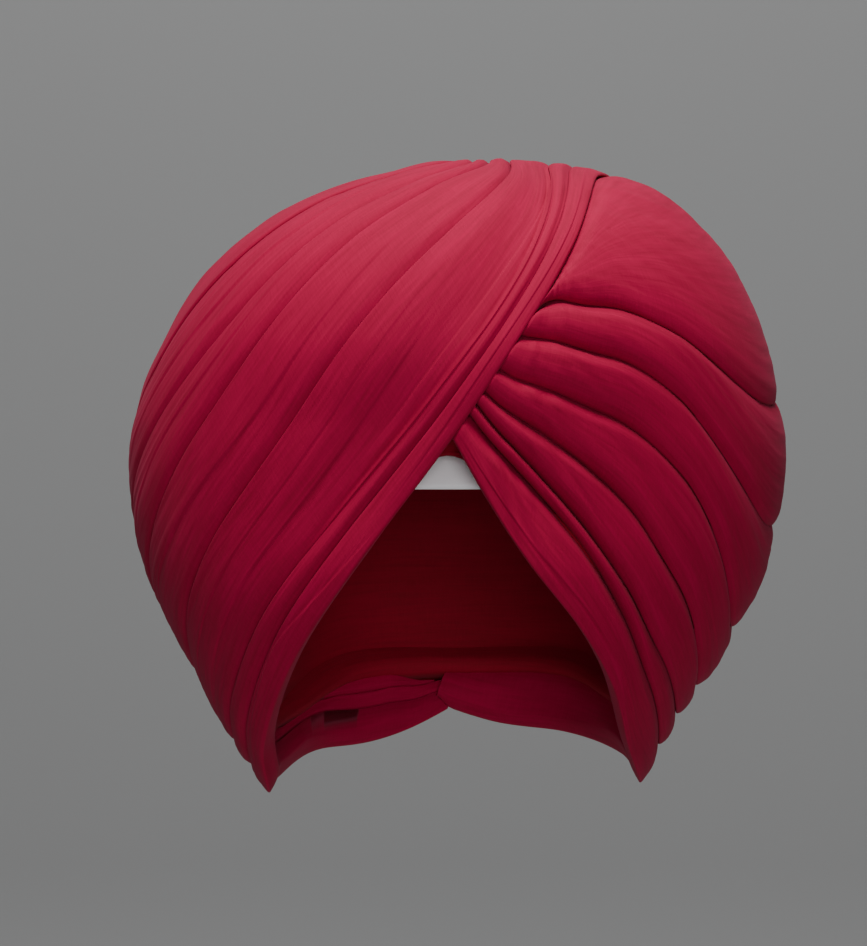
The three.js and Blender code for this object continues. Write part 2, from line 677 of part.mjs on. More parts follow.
/** Plain band round the head, level at its lower edge. */
function underBand() {
  const points = [];
  for (let column = 0; column < BAND_COLUMNS; column += 1) {
    const across = aim((column * 360) / BAND_COLUMNS, 0);
    const directions = [0, 0.5, 1].map((share) => {
      const middle = new THREE.Vector3(0, 0, BAND_LOW + share * BAND_HEIGHT);
      const onHead = middle.addScaledVector(across, headReach(across, middle));
      return onHead.sub(CENTRE).normalize();
    });
    points.push(...directions.map((direction) => overHead(direction, BAND_THICKNESS)));
    points.push(...directions.reverse().map((direction) => overHead(direction, 0)));
  }
  return solidFrom(points, ringFaces(BAND_COLUMNS, 6));
}

/** Named mesh with its own material. */
function piece(name, geometry, finish) {
  const mesh = new THREE.Mesh(geometry, new THREE.MeshStandardMaterial(finish));
  mesh.name = name;
  return mesh;
}

const turban = new THREE.Group();
turban.add(piece('under_band', underBand(), WHITE_COTTON));
INNER_TURNS.forEach((turn) => turban.add(piece(turn.name, innerTurn(turn), INNER_VOILE)));
SIDE_WRAPS.forEach(({ name }, index) => turban.add(piece(name, sideWrap(index), VOILE)));
SASH_FOLDS.forEach(({ name }, index) => turban.add(piece(name, sashFold(index), VOILE)));
turban.add(piece('crown_tuck', crownTuck(), VOILE));

export default turban;
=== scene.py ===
"""Finished look of a tied turban: crimson cotton voile wound over a plain white under-band.

Every turn of cloth is a closed strip on one outer form. A strip is built from rows along the cloth and a
section round it, and its creases and streaks are laid into the outer face of the section.
"""

import logging
import math
from dataclasses import dataclass
from enum import Enum, auto

import bpy
import numpy as np
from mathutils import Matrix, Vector


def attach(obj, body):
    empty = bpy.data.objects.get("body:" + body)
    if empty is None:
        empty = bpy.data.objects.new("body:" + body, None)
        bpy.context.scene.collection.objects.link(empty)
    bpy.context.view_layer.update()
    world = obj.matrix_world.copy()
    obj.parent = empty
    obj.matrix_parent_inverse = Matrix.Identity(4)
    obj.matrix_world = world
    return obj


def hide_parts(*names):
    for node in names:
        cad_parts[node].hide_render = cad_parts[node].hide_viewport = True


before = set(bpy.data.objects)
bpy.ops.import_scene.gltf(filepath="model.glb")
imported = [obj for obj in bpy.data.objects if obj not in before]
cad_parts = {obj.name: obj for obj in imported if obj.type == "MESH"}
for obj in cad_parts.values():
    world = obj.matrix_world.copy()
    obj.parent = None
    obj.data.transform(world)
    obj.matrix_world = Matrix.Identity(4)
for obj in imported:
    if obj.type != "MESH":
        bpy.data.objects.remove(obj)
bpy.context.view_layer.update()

log = logging.getLogger("turban")

MM = 0.001
BODY = "root"
INNER_NODES = ("inner_turn_1", "inner_turn_2", "inner_turn_3", "inner_turn_4")
SEED = 1006
STREAK_SHIFT = 41.0

# Where the sash's near edge peaks over the face, where it starts at the nape, and where the end of the
# cloth is drawn in, as azimuth from the front and level in degrees. Last the level of straight up
APEX = (359.0, 9.0)
NAPE = (182.0, -47.0)
EYE = (215.0, 40.0)
ZENITH = 90.0


def aim(azimuth: np.ndarray | float, level: np.ndarray | float) -> np.ndarray:
    """Unit vector at an azimuth and a level.

    Args:
        azimuth: Degrees from the front, round by +X.
        level: Degrees above the horizontal.

    Returns:
        The unit vector.
    """
    a, l = np.broadcast_arrays(np.radians(azimuth), np.radians(level))
    return np.stack([np.sin(a) * np.cos(l), -np.cos(a) * np.cos(l), np.sin(l)], axis=-1)


def ramp(x: np.ndarray, low: float, high: float) -> np.ndarray:
    """Smooth step from 0 at low to 1 at high.

    Args:
        x: Places to take it at.
        low: Where it leaves 0.
        high: Where it reaches 1.

    Returns:
        The step's values.
    """
    t = np.clip((np.asarray(x, float) - low) / (high - low), 0, 1)
    return t * t * (3 - 2 * t)


def swell(row: np.ndarray, start: float, full: float, fading: float, gone: float) -> np.ndarray:
    """Smooth rise from 0 to 1 and back.

    Args:
        row: Places to take it at.
        start: Where it leaves 0.
        full: Where it reaches 1.
        fading: Where it leaves 1.
        gone: Where it is back at 0.

    Returns:
        The values.
    """
    return ramp(row, start, full) * ramp(-row, -gone, -fading)


def mixed(start: np.ndarray, end: np.ndarray, share: np.ndarray) -> np.ndarray:
    """Straight mix of two values.

    Args:
        start: Value at share 0.
        end: Value at share 1.
        share: How far from start to end.

    Returns:
        The mix.
    """
    return start + (end - start) * share


def unit(vectors: np.ndarray) -> np.ndarray:
    """Vectors brought to length 1.

    Args:
        vectors: Array with x, y, z in its last axis.

    Returns:
        The unit vectors.
    """
    return vectors / np.linalg.norm(vectors, axis=-1, keepdims=True)


def turn_to(start: np.ndarray, end: np.ndarray, share: np.ndarray) -> np.ndarray:
    """Unit vector a share of the way from one unit vector to another, and beyond either.

    Args:
        start: Unit vectors at share 0.
        end: Unit vectors at share 1.
        share: How far from start to end.

    Returns:
        The unit vectors.
    """
    angle = angle_between(start, end)[..., None]
    part = np.asarray(share, float)[..., None]
    return unit(start * np.sin((1 - part) * angle) + end * np.sin(part * angle))


def angle_between(start: np.ndarray, end: np.ndarray) -> np.ndarray:
    """Angle in radians between unit vectors.

    Args:
        start: Unit vectors.
        end: Unit vectors.

    Returns:
        The angles.
    """
    return np.arccos(np.clip((start * end).sum(-1), -1, 1))


@dataclass(frozen=True)
class Track:
    """Smooth line through values that stand at uneven places.

    Attributes:
        places: Where the values stand, rising.
        values: One value, or one row of values, a place.
    """

    places: tuple
    values: tuple

    def at(self, x: np.ndarray) -> np.ndarray:
        """Values of the line.

        Args:
            x: Places to take it at. Past either end it stays level.

        Returns:
            The values, with the shape of x, then that of one value.
        """
        xs = np.asarray(self.places, float)
        ys = np.asarray(self.values, float)
        flat = ys.reshape(len(xs), -1)
        x = np.clip(np.asarray(x, float), xs[0], xs[-1])
        i = np.clip(np.searchsorted(xs, x, side="right") - 1, 0, len(xs) - 2)
        span = np.diff(xs)
        secant = np.diff(flat, axis=0) / span[:, None]
        slope = np.empty_like(flat)
        slope[0], slope[-1] = secant[0], secant[-1]
        if len(xs) > 2:
            before, after = span[:-1, None], span[1:, None]
            slope[1:-1] = (secant[:-1] * after + secant[1:] * before) / (before + after)
        t = ((x - xs[i]) / span[i])[..., None]
        s = span[i][..., None]
        start = (1 + 2 * t) * (1 - t) ** 2 * flat[i] + t * (1 - t) ** 2 * s * slope[i]
        end = t * t * (3 - 2 * t) * flat[i + 1] + t * t * (t - 1) * s * slope[i + 1]
        return (start + end).reshape(x.shape + ys.shape[1:])


@dataclass(frozen=True)
class Grain:
    """Seeded soft noise on a grid of cells, smooth between them.

    Attributes:
        seed: Number that the noise follows from.
        long: Cells a row of the family.
        fine: Cells a millimetre across it.
        height: Its height in millimetres.
        cells: Cells along and across before it repeats.
        start: Rows and millimetres before the first cell ends.
    """

    seed: int
    long: float
    fine: float
    height: float = 1.0
    cells: tuple = (256, 1024)
    start: tuple = (3, 60)

    def at(self, row: np.ndarray, across: np.ndarray) -> np.ndarray:
        """Noise, up and down by about its height.

        Args:
            row: Rows along the cloth.
            across: Millimetres across it.

        Returns:
            The noise.
        """
        table = np.random.default_rng(self.seed).uniform(-1, 1, self.cells)
        u = (np.asarray(row, float) + self.start[0]) * self.long
        v = (np.asarray(across, float) + self.start[1]) * self.fine
        i, j = np.floor(u).astype(int), np.floor(v).astype(int)
        a, b = u - i, v - j
        a, b = a * a * (3 - 2 * a), b * b * (3 - 2 * b)
        i, j = i % (self.cells[0] - 1), j % (self.cells[1] - 1)
        low = mixed(table[i, j], table[i, j + 1], b)
        high = mixed(table[i + 1, j], table[i + 1, j + 1], b)
        return self.height * mixed(low, high, a)


@dataclass(frozen=True)
class Head:
    """Head that the turban is wound for, in millimetres.

    Attributes:
        half_breadth: Half its width at the widest.
        front: Reach from its middle to the brow.
        back: Reach from its middle to the back.
        rise: Height of the crown over its widest level.
        below: Depth over which it tapers.
        taper: Share by which it narrows over that depth.
        roundness: Power of its rounded outline, 2 for an ellipse.
        middle: Height of its widest level.
        farthest: Longest distance at which its surface is looked for, in millimetres.
        halvings: Times that distance is halved to find it.
    """

    half_breadth: float = 72
    front: float = 94
    back: float = 92
    rise: float = 68.0
    below: float = 95
    taper: float = 0.12
    roundness: float = 2.6
    middle: float = -75.5
    farthest: float = 400.0
    halvings: int = 26

    def inside(self, points: np.ndarray) -> np.ndarray:
        """Whether points lie inside the head.

        Args:
            points: Places in millimetres.

        Returns:
            True where inside.
        """
        x, y, z = points[..., 0], points[..., 1], points[..., 2]
        taper = 1 - self.taper * np.maximum(self.middle - z, 0) / self.below
        above = np.maximum(z - self.middle, 0) / self.rise
        breadth = np.abs(x) / (self.half_breadth * taper)
        length = np.abs(y) / (np.where(y < 0, self.front, self.back) * taper)
        power = self.roundness
        return breadth**power + length**power + above**power < 1

    def reach(self, directions: np.ndarray, start: np.ndarray) -> np.ndarray:
        """Distance from points inside the head to its surface.

        Args:
            directions: Unit vectors.
            start: Point or points to start from.

        Returns:
            The distances in millimetres.
        """
        near = np.zeros(directions.shape[:-1])
        far = np.full(directions.shape[:-1], self.farthest)
        for _ in range(self.halvings):
            middle = (near + far) / 2
            inside = self.inside(start + directions * middle[..., None])
            near, far = np.where(inside, middle, near), np.where(inside, far, middle)
        return near


@dataclass(frozen=True)
class Form:
    """Outer form of the wound turban: the reach from its centre in every direction.

    Attributes:
        head: Head under the winding.
        centre: Point that all directions start from.
        half_width: Reach to either side.
        front: Reach to the front.
        back: Reach to the back.
        crown: Reach to the top.
        lower: Reach towards the nape and chin.
        rim_wall: Least wall over the head.
        rim_blend: Width over which that wall takes over.
        rim_space: Space kept free over the head.
        depth: Depth of the turns under the outer form.
        levels: Levels at which the shares stand, in degrees.
        shares: Shares of the reach to the right, front, left and back at each level.
    """

    head: Head = Head()
    centre: tuple = (0.0, 0.0, -45.0)
    half_width: float = 130
    front: float = 128
    back: float = 138
    crown: float = 130
    lower: float = 125
    rim_wall: float = 6
    rim_blend: float = 8
    rim_space: float = 2.5
    depth: float = 9.05
    levels: tuple = (-62, -50, -35, -20, -5, 10, 25, 40, 55, 70, 90)
    shares: tuple = (
        (1.13, 1.0, 1.16, 0.99),
        (1.02, 0.93, 1.075, 0.985),
        (0.978, 0.86, 0.998, 0.985),
        (0.974, 0.82, 0.993, 0.99),
        (0.99, 0.81, 0.999, 0.995),
        (1.01, 0.875, 1.006, 1.0),
        (1.035, 1.0, 0.998, 1.01),
        (1.066, 1.06, 0.999, 1.02),
        (1.074, 1.05, 0.992, 1.02),
        (1.035, 1.01, 0.962, 1.0),
        (0.975, 0.975, 0.975, 0.975),
    )

    @property
    def mean_reach(self) -> float:
        """Mean reach, which turns angles into lengths across a family."""
        return (self.half_width + self.front + self.back + self.crown) / 4

    def head_reach(self, directions: np.ndarray) -> np.ndarray:
        """Distance from the centre to the head.

        Args:
            directions: Unit vectors.

        Returns:
            The distances in millimetres.
        """
        return self.head.reach(directions, np.array(self.centre))

    def reach(self, directions: np.ndarray) -> tuple:
        """Distance from the centre to the outer form, and to the head.

        Args:
            directions: Unit vectors.

        Returns:
            Both distances in millimetres.
        """
        x, y, z = directions[..., 0], directions[..., 1], directions[..., 2]
        scaled = np.stack(
            [
                x / self.half_width,
                y / np.where(y < 0, self.front, self.back),
                z / np.where(z > 0, self.crown, self.lower),
            ],
            axis=-1,
        )
        stretch = np.linalg.norm(scaled, axis=-1)
        level = np.degrees(np.arcsin(np.clip(scaled[..., 2] / stretch, -1, 1)))
        shares = Track(self.levels, self.shares).at(level)
        azimuth = np.arctan2(scaled[..., 0], -scaled[..., 1])
        across, along = np.sin(azimuth), np.cos(azimuth)
        side = np.where(across > 0, shares[..., 0], shares[..., 2])
        face = np.where(along > 0, shares[..., 1], shares[..., 3])
        bulk = (side * across**2 + face * along**2) / stretch
        head = self.head_reach(directions)
        rim = head + self.rim_wall
        return (bulk + rim + np.hypot(bulk - rim, self.rim_blend)) / 2, head

    def over(self, directions: np.ndarray, height: np.ndarray) -> np.ndarray:
        """Points at a height over the outer form, depths squeezed where the wall is thin.

        Args:
            directions: Unit vectors.
            height: Millimetres over the form.

        Returns:
            The points in metres.
        """
        reach, head = self.reach(directions)
        squeeze = np.minimum(1, (reach - head - self.rim_space) / self.depth)
        squeeze = np.where(height < 0, squeeze, 1)
        return (np.array(self.centre) + directions * (reach + height * squeeze)[..., None]) * MM

    def over_head(self, directions: np.ndarray, height: np.ndarray) -> np.ndarray:
        """Points at a height over the head.

        Args:
            directions: Unit vectors.
            height: Millimetres over the head.

        Returns:
            The points in metres.
        """
        reach = self.head_reach(directions)
        return (np.array(self.centre) + directions * (reach + height)[..., None]) * MM


class CreaseKind(Enum):
    """Which way a crease in the cloth stands."""

    OVER_FAR = auto()
    OVER_NEAR = auto()
    GROOVE = auto()
    RIDGE = auto()


@dataclass(frozen=True)
class Crease:
    """Crease that runs along a family of turns.

    Attributes:
        kind: Which way it stands.
        rows: Rows at which its shares stand.
        shares: Shares across the family at those rows.
        size: Its height or depth in millimetres.
        reach: Millimetres over which it fades to its far side.
        fade: Share of its length over which either end fades.
        step: Half the width of the step where one side lies over the other.
        over: Share of its size that stands up on the upper side.
        under: Share of its size that sinks on the lower side.
        under_reach: Share of its reach over which the lower side fades.
    """

    kind: CreaseKind
    rows: tuple
    shares: tuple
    size: float
    reach: float = 4.0
    fade: float = 0.35
    step: float = 0.45
    over: float = 0.45
    under: float = 0.55
    under_reach: float = 0.6

    def at(self, row: np.ndarray, share: np.ndarray, width: np.ndarray) -> np.ndarray:
        """Height that the crease adds.

        Args:
            row: Rows along the family.
            share: Shares across the family.
            width: Width of the family in millimetres.

        Returns:
            Heights in millimetres.
        """
        start, end = self.rows[0], self.rows[-1]
        fade = self.fade * (end - start)
        strength = swell(row, start, start + fade, end - fade, end) * self.size
        off = (share - Track(self.rows, self.shares).at(row)) * width
        if self.kind is CreaseKind.RIDGE:
            return strength * np.exp(-((off / self.reach) ** 2))
        if self.kind is CreaseKind.GROOVE:
            return -strength * np.exp(-((off / self.reach) ** 2))
        side = off if self.kind is CreaseKind.OVER_NEAR else -off
        top = np.exp(np.minimum(side, 0) / self.reach)
        dip = np.exp(-np.maximum(side, 0) / (self.under_reach * self.reach))
        return strength * mixed(self.over * top, -self.under * dip, ramp(side, -self.step, self.step))


@dataclass
class Family:
    """Turns that run side by side over the form.

    Attributes:
        form: Outer form under them.
        creases: Creases in their outer faces.
    """

    form: Form
    creases: tuple = ()

    def aim(self, row: np.ndarray, share: np.ndarray) -> np.ndarray:
        """Unit vectors over the family.

        Args:
            row: Rows along the family.
            share: Shares across it.

        Returns:
            The unit vectors.
        """
        raise NotImplementedError

    def grain(self, row: np.ndarray, across: np.ndarray) -> np.ndarray:
        """Streaks and ripples of the cloth.

        Args:
            row: Rows along the family.
            across: Millimetres across it.

        Returns:
            Heights in millimetres.
        """
        raise NotImplementedError

    def width(self, row: np.ndarray) -> np.ndarray:
        """Width of the family.

        Args:
            row: Rows along it.

        Returns:
            Widths in millimetres.
        """
        return angle_between(self.aim(row, 0 * row), self.aim(row, 0 * row + 1)) * self.form.mean_reach

    def relief(
        self, row: np.ndarray, across: np.ndarray, width: np.ndarray, streak: np.ndarray
    ) -> np.ndarray:
        """Creases, streaks and ripples together.

        Args:
            row: Rows along the family.
            across: Millimetres across it.
            width: Width of the family in millimetres.
            streak: Millimetres across the streaks.

        Returns:
            Heights in millimetres.
        """
        total = self.grain(row, streak)
        for crease in self.creases:
            total = total + crease.at(row, across / width, width)
        return total


# Edges of the two families as azimuth from the front and level in degrees, a place a row. The sash runs
# from the nape over the left ear, the front and the crown. The right side runs from the peak to the nape
SASH_NEAR = (
    NAPE,
    (220, -53),
    (255, -58),
    (280, -58.5),
    (298, -50.5),
    (320, -35),
    (340, -15),
    APEX,
    (12, 26),
    (25, 41),
    (60, 62),
    (110, 60),
    (152, 42),
)
SASH_FAR = (
    (168.3, -9.8),
    (215, -12),
    (245, -5),
    (268, 5),
    (280, 18),
    (290, 31),
    (301, 43),
    (315, 57),
    (332, 67),
    (355, 80),
    (170, 87),
    (173, 73),
    (178, 54),
)
SIDE_RIM = (
    (APEX[0] - 360, APEX[1]),
    (6, -3),
    (15, -16),
    (28, -29),
    (40, -40),
    (56, -52),
    (85, -58.5),
    (120, -55),
    (150, -50),
    NAPE,
)

# Row of the sash whose near edge is above each row of the right side
SIDE_UNDER_ROW = (8.4, 8.6, 8.8, 9.0, 9.25, 9.5, 10.0, 10.6, 11.2, 12.0)
SASH_END = len(SASH_NEAR) - 1
SIDE_END = len(SIDE_RIM) - 1


def along(places: tuple, row: np.ndarray) -> np.ndarray:
    """Unit vectors along a list of places on the sphere.

    Args:
        places: Azimuth and level of the place at each row.
        row: Rows to take.

    Returns:
        The unit vectors.
    """
    vectors = tuple(tuple(aim(*place)) for place in places)
    return unit(Track(tuple(range(len(places))), vectors).at(row))


def under_row(row: np.ndarray) -> np.ndarray:
    """Row of the sash whose near edge is above a row of the right side.

    Args:
        row: Rows of the right side.

    Returns:
        Rows of the sash.
    """
    return Track(tuple(range(len(SIDE_UNDER_ROW))), SIDE_UNDER_ROW).at(row)


@dataclass
class Sash(Family):
    """Wide gathered sash from the left ear over the front and the crown.

    Attributes:
        pleats: Long soft pleats along it.
        lines: Narrower lines between them.
        streaks: Fine streaks over both.
        gather: Strength of pleats and lines over the ear and over the crown.
        gather_rows: Rows between which the one becomes the other.
    """

    pleats: Grain = Grain(SEED, 0.42, 0.13, height=0.42)
    lines: Grain = Grain(SEED + 1, 0.55, 0.42, height=0.16)
    streaks: Grain = Grain(SEED + 2, 1.1, 1.1, height=0.05)
    gather: tuple = (1.15, 0.55)
    gather_rows: tuple = (3.5, 6.5)

    def aim(self, row: np.ndarray, share: np.ndarray) -> np.ndarray:
        """Unit vectors over the sash, share 0 at the edge nearer the face.

        Args:
            row: Rows along the sash.
            share: Shares across it.

        Returns:
            The unit vectors.
        """
        return turn_to(along(SASH_NEAR, row), along(SASH_FAR, row), share)

    def grain(self, row: np.ndarray, across: np.ndarray) -> np.ndarray:
        """Long soft pleats and fine streaks that run with the sash.

        Args:
            row: Rows along the sash.
            across: Millimetres across it.

        Returns:
            Heights in millimetres.
        """
        gathered = mixed(*self.gather, ramp(row, *self.gather_rows))
        folded = self.pleats.at(row, across) + self.lines.at(row, across)
        return gathered * folded + self.streaks.at(row, across)


@dataclass
class Side(Family):
    """Stacked turns of the right side, from the rim of the opening up to the sash.

    Attributes:
        tuck: Length in millimetres that runs on under the sash at either end.
        ripples: Soft ripples along the turns.
        lines: Narrower lines that slant across them.
        streaks: Fine streaks over both.
        wrinkles: Sharper wrinkles near the crossing.
        gather: How much stronger the lines are near the crossing.
        gather_rows: Rows where that starts, is full, fades and is gone.
        line_slant: Millimetres a row by which the lines slant.
        wrinkle_rows: Rows where the wrinkles start, are full, fade and are gone.
        wrinkle_slant: Millimetres a row by which the wrinkles slant.
    """

    tuck: float = 5.0
    ripples: Grain = Grain(SEED + 3, 0.7, 0.1, height=0.36)
    lines: Grain = Grain(SEED + 4, 1.2, 0.3, height=0.15)
    streaks: Grain = Grain(SEED + 5, 2.0, 1.0, height=0.05)
    wrinkles: Grain = Grain(SEED + 6, 2.6, 0.15, height=0.5)
    gather: float = 1.2
    gather_rows: tuple = (0.2, 0.9, 1.2, 3.4)
    line_slant: float = 5.0
    wrinkle_rows: tuple = (0.3, 1.0, 1.6, 3.2)
    wrinkle_slant: float = 11.0

    def aim(self, row: np.ndarray, share: np.ndarray) -> np.ndarray:
        """Unit vectors over the right side, share 0 at the rim of the opening.

        Args:
            row: Rows along the turns. Past either end they run in under their neighbour.
            share: Shares up from the rim.

        Returns:
            The unit vectors.
        """
        within = np.clip(row, 0, SIDE_END)
        low = along(SIDE_RIM, within)
        high = along(SASH_NEAR, under_row(within))
        tucked = ((within - row) * self.tuck / self.form.mean_reach)[..., None]
        inward = unit(np.cross(low, high))
        return turn_to(low, high, share) * np.cos(tucked) + inward * np.sin(tucked)

    def grain(self, row: np.ndarray, across: np.ndarray) -> np.ndarray:
        """Soft ripples, and sharper wrinkles near the crossing.

        Args:
            row: Rows along the turns.
            across: Millimetres across them.

        Returns:
            Heights in millimetres.
        """
        gathered = 1 + self.gather * swell(row, *self.gather_rows)
        lines = gathered * self.lines.at(row, across + self.line_slant * row)
        wrinkled = swell(row, *self.wrinkle_rows)
        wrinkles = wrinkled * self.wrinkles.at(row, across + self.wrinkle_slant * row)
        return self.ripples.at(row, across) + lines + self.streaks.at(row, across) + wrinkles


class EdgeKind(Enum):
    """How an edge of a turn meets what is beside it."""

    LIP = auto()
    ROOT = auto()
    RIM = auto()
    CROSSING = auto()


@dataclass
class Edge:
    """One edge of a turn, a value a row.

    Attributes:
        kind: How it meets what is beside it.
        at: Place across the family in millimetres.
        tail: Length tucked under, or laid over, the neighbour in millimetres.
        root: Depth where the tuck starts in millimetres.
        seat: Depth of the underside further in, where the edge crosses other turns.
    """

    kind: EdgeKind
    at: np.ndarray
    tail: np.ndarray
    root: np.ndarray
    seat: np.ndarray | float = 0.0


@dataclass(frozen=True)
class Roll:
    """Rounding of a turn across its width, in millimetres.

    Attributes:
        rise: Height of its middle over the form.
        nose: Length over which the edge that lies on top is rounded.
        deep: Height over which it is rounded.
        root: Depth at which it goes in under its neighbour.
        drop: Further depth at the end of its tuck.
        valley: Distance over which it sinks to the root.
        gap: Gap to the neighbour under it.
        crown: Further rise of the middle of a wide turn.
    """

    rise: float
    nose: float
    deep: float
    root: float
    drop: float
    valley: float
    gap: float = 0.45
    crown: float = 0.0


SIDE_ROLL = Roll(rise=1.6, nose=8.5, deep=4.6, root=4.6, drop=1.6, valley=8.0, gap=0.4, crown=1.2)
SASH_ROLL = Roll(rise=0.7, nose=1.2, deep=0.9, root=1.4, drop=1.3, valley=6.0, gap=0.3, crown=0.5)


@dataclass(frozen=True)
class Stack:
    """Thicknesses where turns run over and under each other, in millimetres.

    Attributes:
        depth: Depth of the underside of the turns.
        underside: Depth of the sash's underside where it lies over the right side's turns.
        edge: Depth of the sash's edge there.
        meeting: Depth at which the topmost turn of the right side runs in under it.
        tucked_top: Depth of the top of the turns under it.
        tuck: Length that the right side's turns run under it.
        clearance: Further length before the sash comes down.
        tail: Longest tuck under a neighbour.
        tail_share: Longest tuck as a share of the neighbour's width.
        shortest: Shortest tuck.
        spare: Space past the end of a tuck.
        set_back: Distance the topmost turn stays off the sash over the back of the crown.
        hem: Length over which a hem is rounded.
        hem_deep: Height over which a hem is rounded.
        deep_share: Most height of a rounding, as a share of the turn's width.
        nose_share: Most length of a rounding, as a share of the turn's width.
        lip_share: Most height of a rounding, as a share of the height down to the neighbour.
        bulge: Length by which the side of a turn curves in under it.
        bulge_share: Most of that length, as a share of the turn's width.
        valley_share: Most width of the valley beside a neighbour, as a share of the turn's width.
        crown_share: Most further rise of the middle, as a share of the turn's width.
    """

    depth: float = 9.05
    underside: float = 4.3
    edge: float = 1.0
    meeting: float = 1.6
    tucked_top: float = 6.2
    tuck: float = 5.0
    clearance: float = 3.4
    tail: float = 9.0
    tail_share: float = 0.45
    shortest: float = 0.6
    spare: float = 0.9
    set_back: float = 0.9
    hem: float = 1.3
    hem_deep: float = 1.0
    deep_share: float = 0.3
    nose_share: float = 0.42
    lip_share: float = 0.85
    bulge: float = 1.6
    bulge_share: float = 0.25
    valley_share: float = 0.55
    crown_share: float = 0.05

    def room(self, place: np.ndarray) -> np.ndarray:
        """Length left under the sash for a tuck, clear of the turns that the sash lies over.

        Args:
            place: Where the tuck starts, across the sash.

        Returns:
            The length.
        """
        return place - self.tuck - self.clearance - self.spare

    def tail_under(self, width: np.ndarray, room: np.ndarray | float = math.inf) -> np.ndarray:
        """Length tucked under a covering turn.

        Args:
            width: Width of that turn.
            room: Length there is room for.

        Returns:
            The length.
        """
        longest = np.minimum(np.minimum(self.tail, self.tail_share * width), room)
        return np.maximum(longest, self.shortest)

    def pressed(self, height: np.ndarray, press: np.ndarray, roll: Roll) -> np.ndarray:
        """Heights in a turn that is pressed flat where it runs in under another.

        Args:
            height: Heights when free.
            press: How far it is pressed, 0 to 1.
            roll: The turn's rounding.

        Returns:
            The heights.
        """
        flat = (self.depth - self.tucked_top) / (self.depth + roll.rise)
        return mixed(1, flat, press) * (height + self.depth) - self.depth

    def lifted(self, height: np.ndarray, lift: np.ndarray, roll: Roll) -> np.ndarray:
        """Heights in a turn that is lifted over the ends of others.

        Args:
            height: Heights when not lifted.
            lift: How far it is lifted, 0 to 1.
            roll: The turn's rounding.

        Returns:
            The heights.
        """
        thin = (self.underside + roll.rise) / (self.depth + roll.rise)
        return mixed(height, thin * (height + self.depth) - self.underside, lift)


STACK = Stack()

# Angles at which the side of a turn has points, and the angle past which they count as its underside
EDGE_ANGLES = np.linspace(0.3, math.pi / 2, 6)
BEDDED_ANGLE = 1.2

# Shares across the underside at which it has points, and how far those of the outer face crowd to its edges
UNDER_SHARES = np.linspace(0, 1, 8)[1:-1]
EDGE_CROWDING = 0.45

# Height over the form at which creases and streaks have their full strength
RELIEF_HEIGHT = 0.2


@dataclass
class Section:
    """Sections of a turn: one closed loop of points a row.

    Attributes:
        across: Millimetres across the family, rows by points.
        height: Heights over the form, rows by points.
        outer: How many of the points, from the first, are the outer face.
        bedded: Which of the points keep their height when the turn is pressed or lifted.
        gap: Gap added to each point after that.
    """

    across: np.ndarray
    height: np.ndarray
    outer: int
    bedded: np.ndarray
    gap: np.ndarray


def rounding(edge: Edge, roll: Roll, width: np.ndarray) -> tuple:
    """How an edge that shows is rounded: broadly where it lies over a neighbour, tightly at a hem.

    Args:
        edge: The edge.
        roll: Rounding of its turn.
        width: Width of the turn in millimetres.

    Returns:
        Length across the turn and height of the rounding in millimetres.
    """
    deepest = STACK.deep_share * width
    if edge.kind is not EdgeKind.LIP:
        return np.minimum(STACK.hem, deepest), np.minimum(STACK.hem_deep, deepest)
    deep = np.minimum(roll.deep, STACK.lip_share * (roll.rise + edge.root))
    return np.minimum(roll.nose, STACK.nose_share * width), np.minimum(deep, deepest)


def edge_points(edge: Edge, sign: int, roll: Roll, width: np.ndarray, bed: np.ndarray) -> list:
    """Points from an edge's outer end round to the underside.

    Args:
        edge: The edge.
        sign: 1 where the turn lies at larger shares than the edge, -1 where it lies at smaller ones.
        roll: Rounding of the turn.
        width: Width of the turn in millimetres.
        bed: Height of the underside at each row.

    Returns:
        For each point its place across, its height, whether it is bedded, and its gap.
    """
    if edge.kind is EdgeKind.ROOT:
        end = edge.at - sign * edge.tail
        return [(end, -edge.root - roll.drop, False, 0.0), (end, bed, True, 0.0)]
    tip = roll.rise - rounding(edge, roll, width)[1]
    bottom = bed if edge.kind is EdgeKind.RIM else -edge.root
    bulge = np.minimum(STACK.bulge, STACK.bulge_share * width)
    kept = edge.kind is not EdgeKind.LIP
    points = [
        (
            edge.at + sign * bulge * (1 - math.cos(a)),
            mixed(tip, bottom, math.sin(a)),
            kept and a > BEDDED_ANGLE,
            0.0 if kept else roll.gap * math.sin(a),
        )
        for a in EDGE_ANGLES
    ]
    if edge.kind is EdgeKind.LIP:
        points.append((edge.at + sign * edge.tail, -edge.root - roll.drop, False, roll.gap))
        points.append((edge.at + sign * (edge.tail + STACK.spare), bed, True, 0.0))
    if edge.kind is EdgeKind.CROSSING:
        points.append((edge.at + sign * (STACK.tuck + STACK.clearance), -edge.seat, True, 0.0))
    return points


def by_row(values: list, rows: int) -> np.ndarray:
    """Values of the points of a section, side by side, for every row.

    Args:
        values: A number, or a value a row, for each point.
        rows: How many rows there are.

    Returns:
        Rows by points.
    """
    return np.stack([np.broadcast_to(value, (rows,)) for value in values], axis=1)


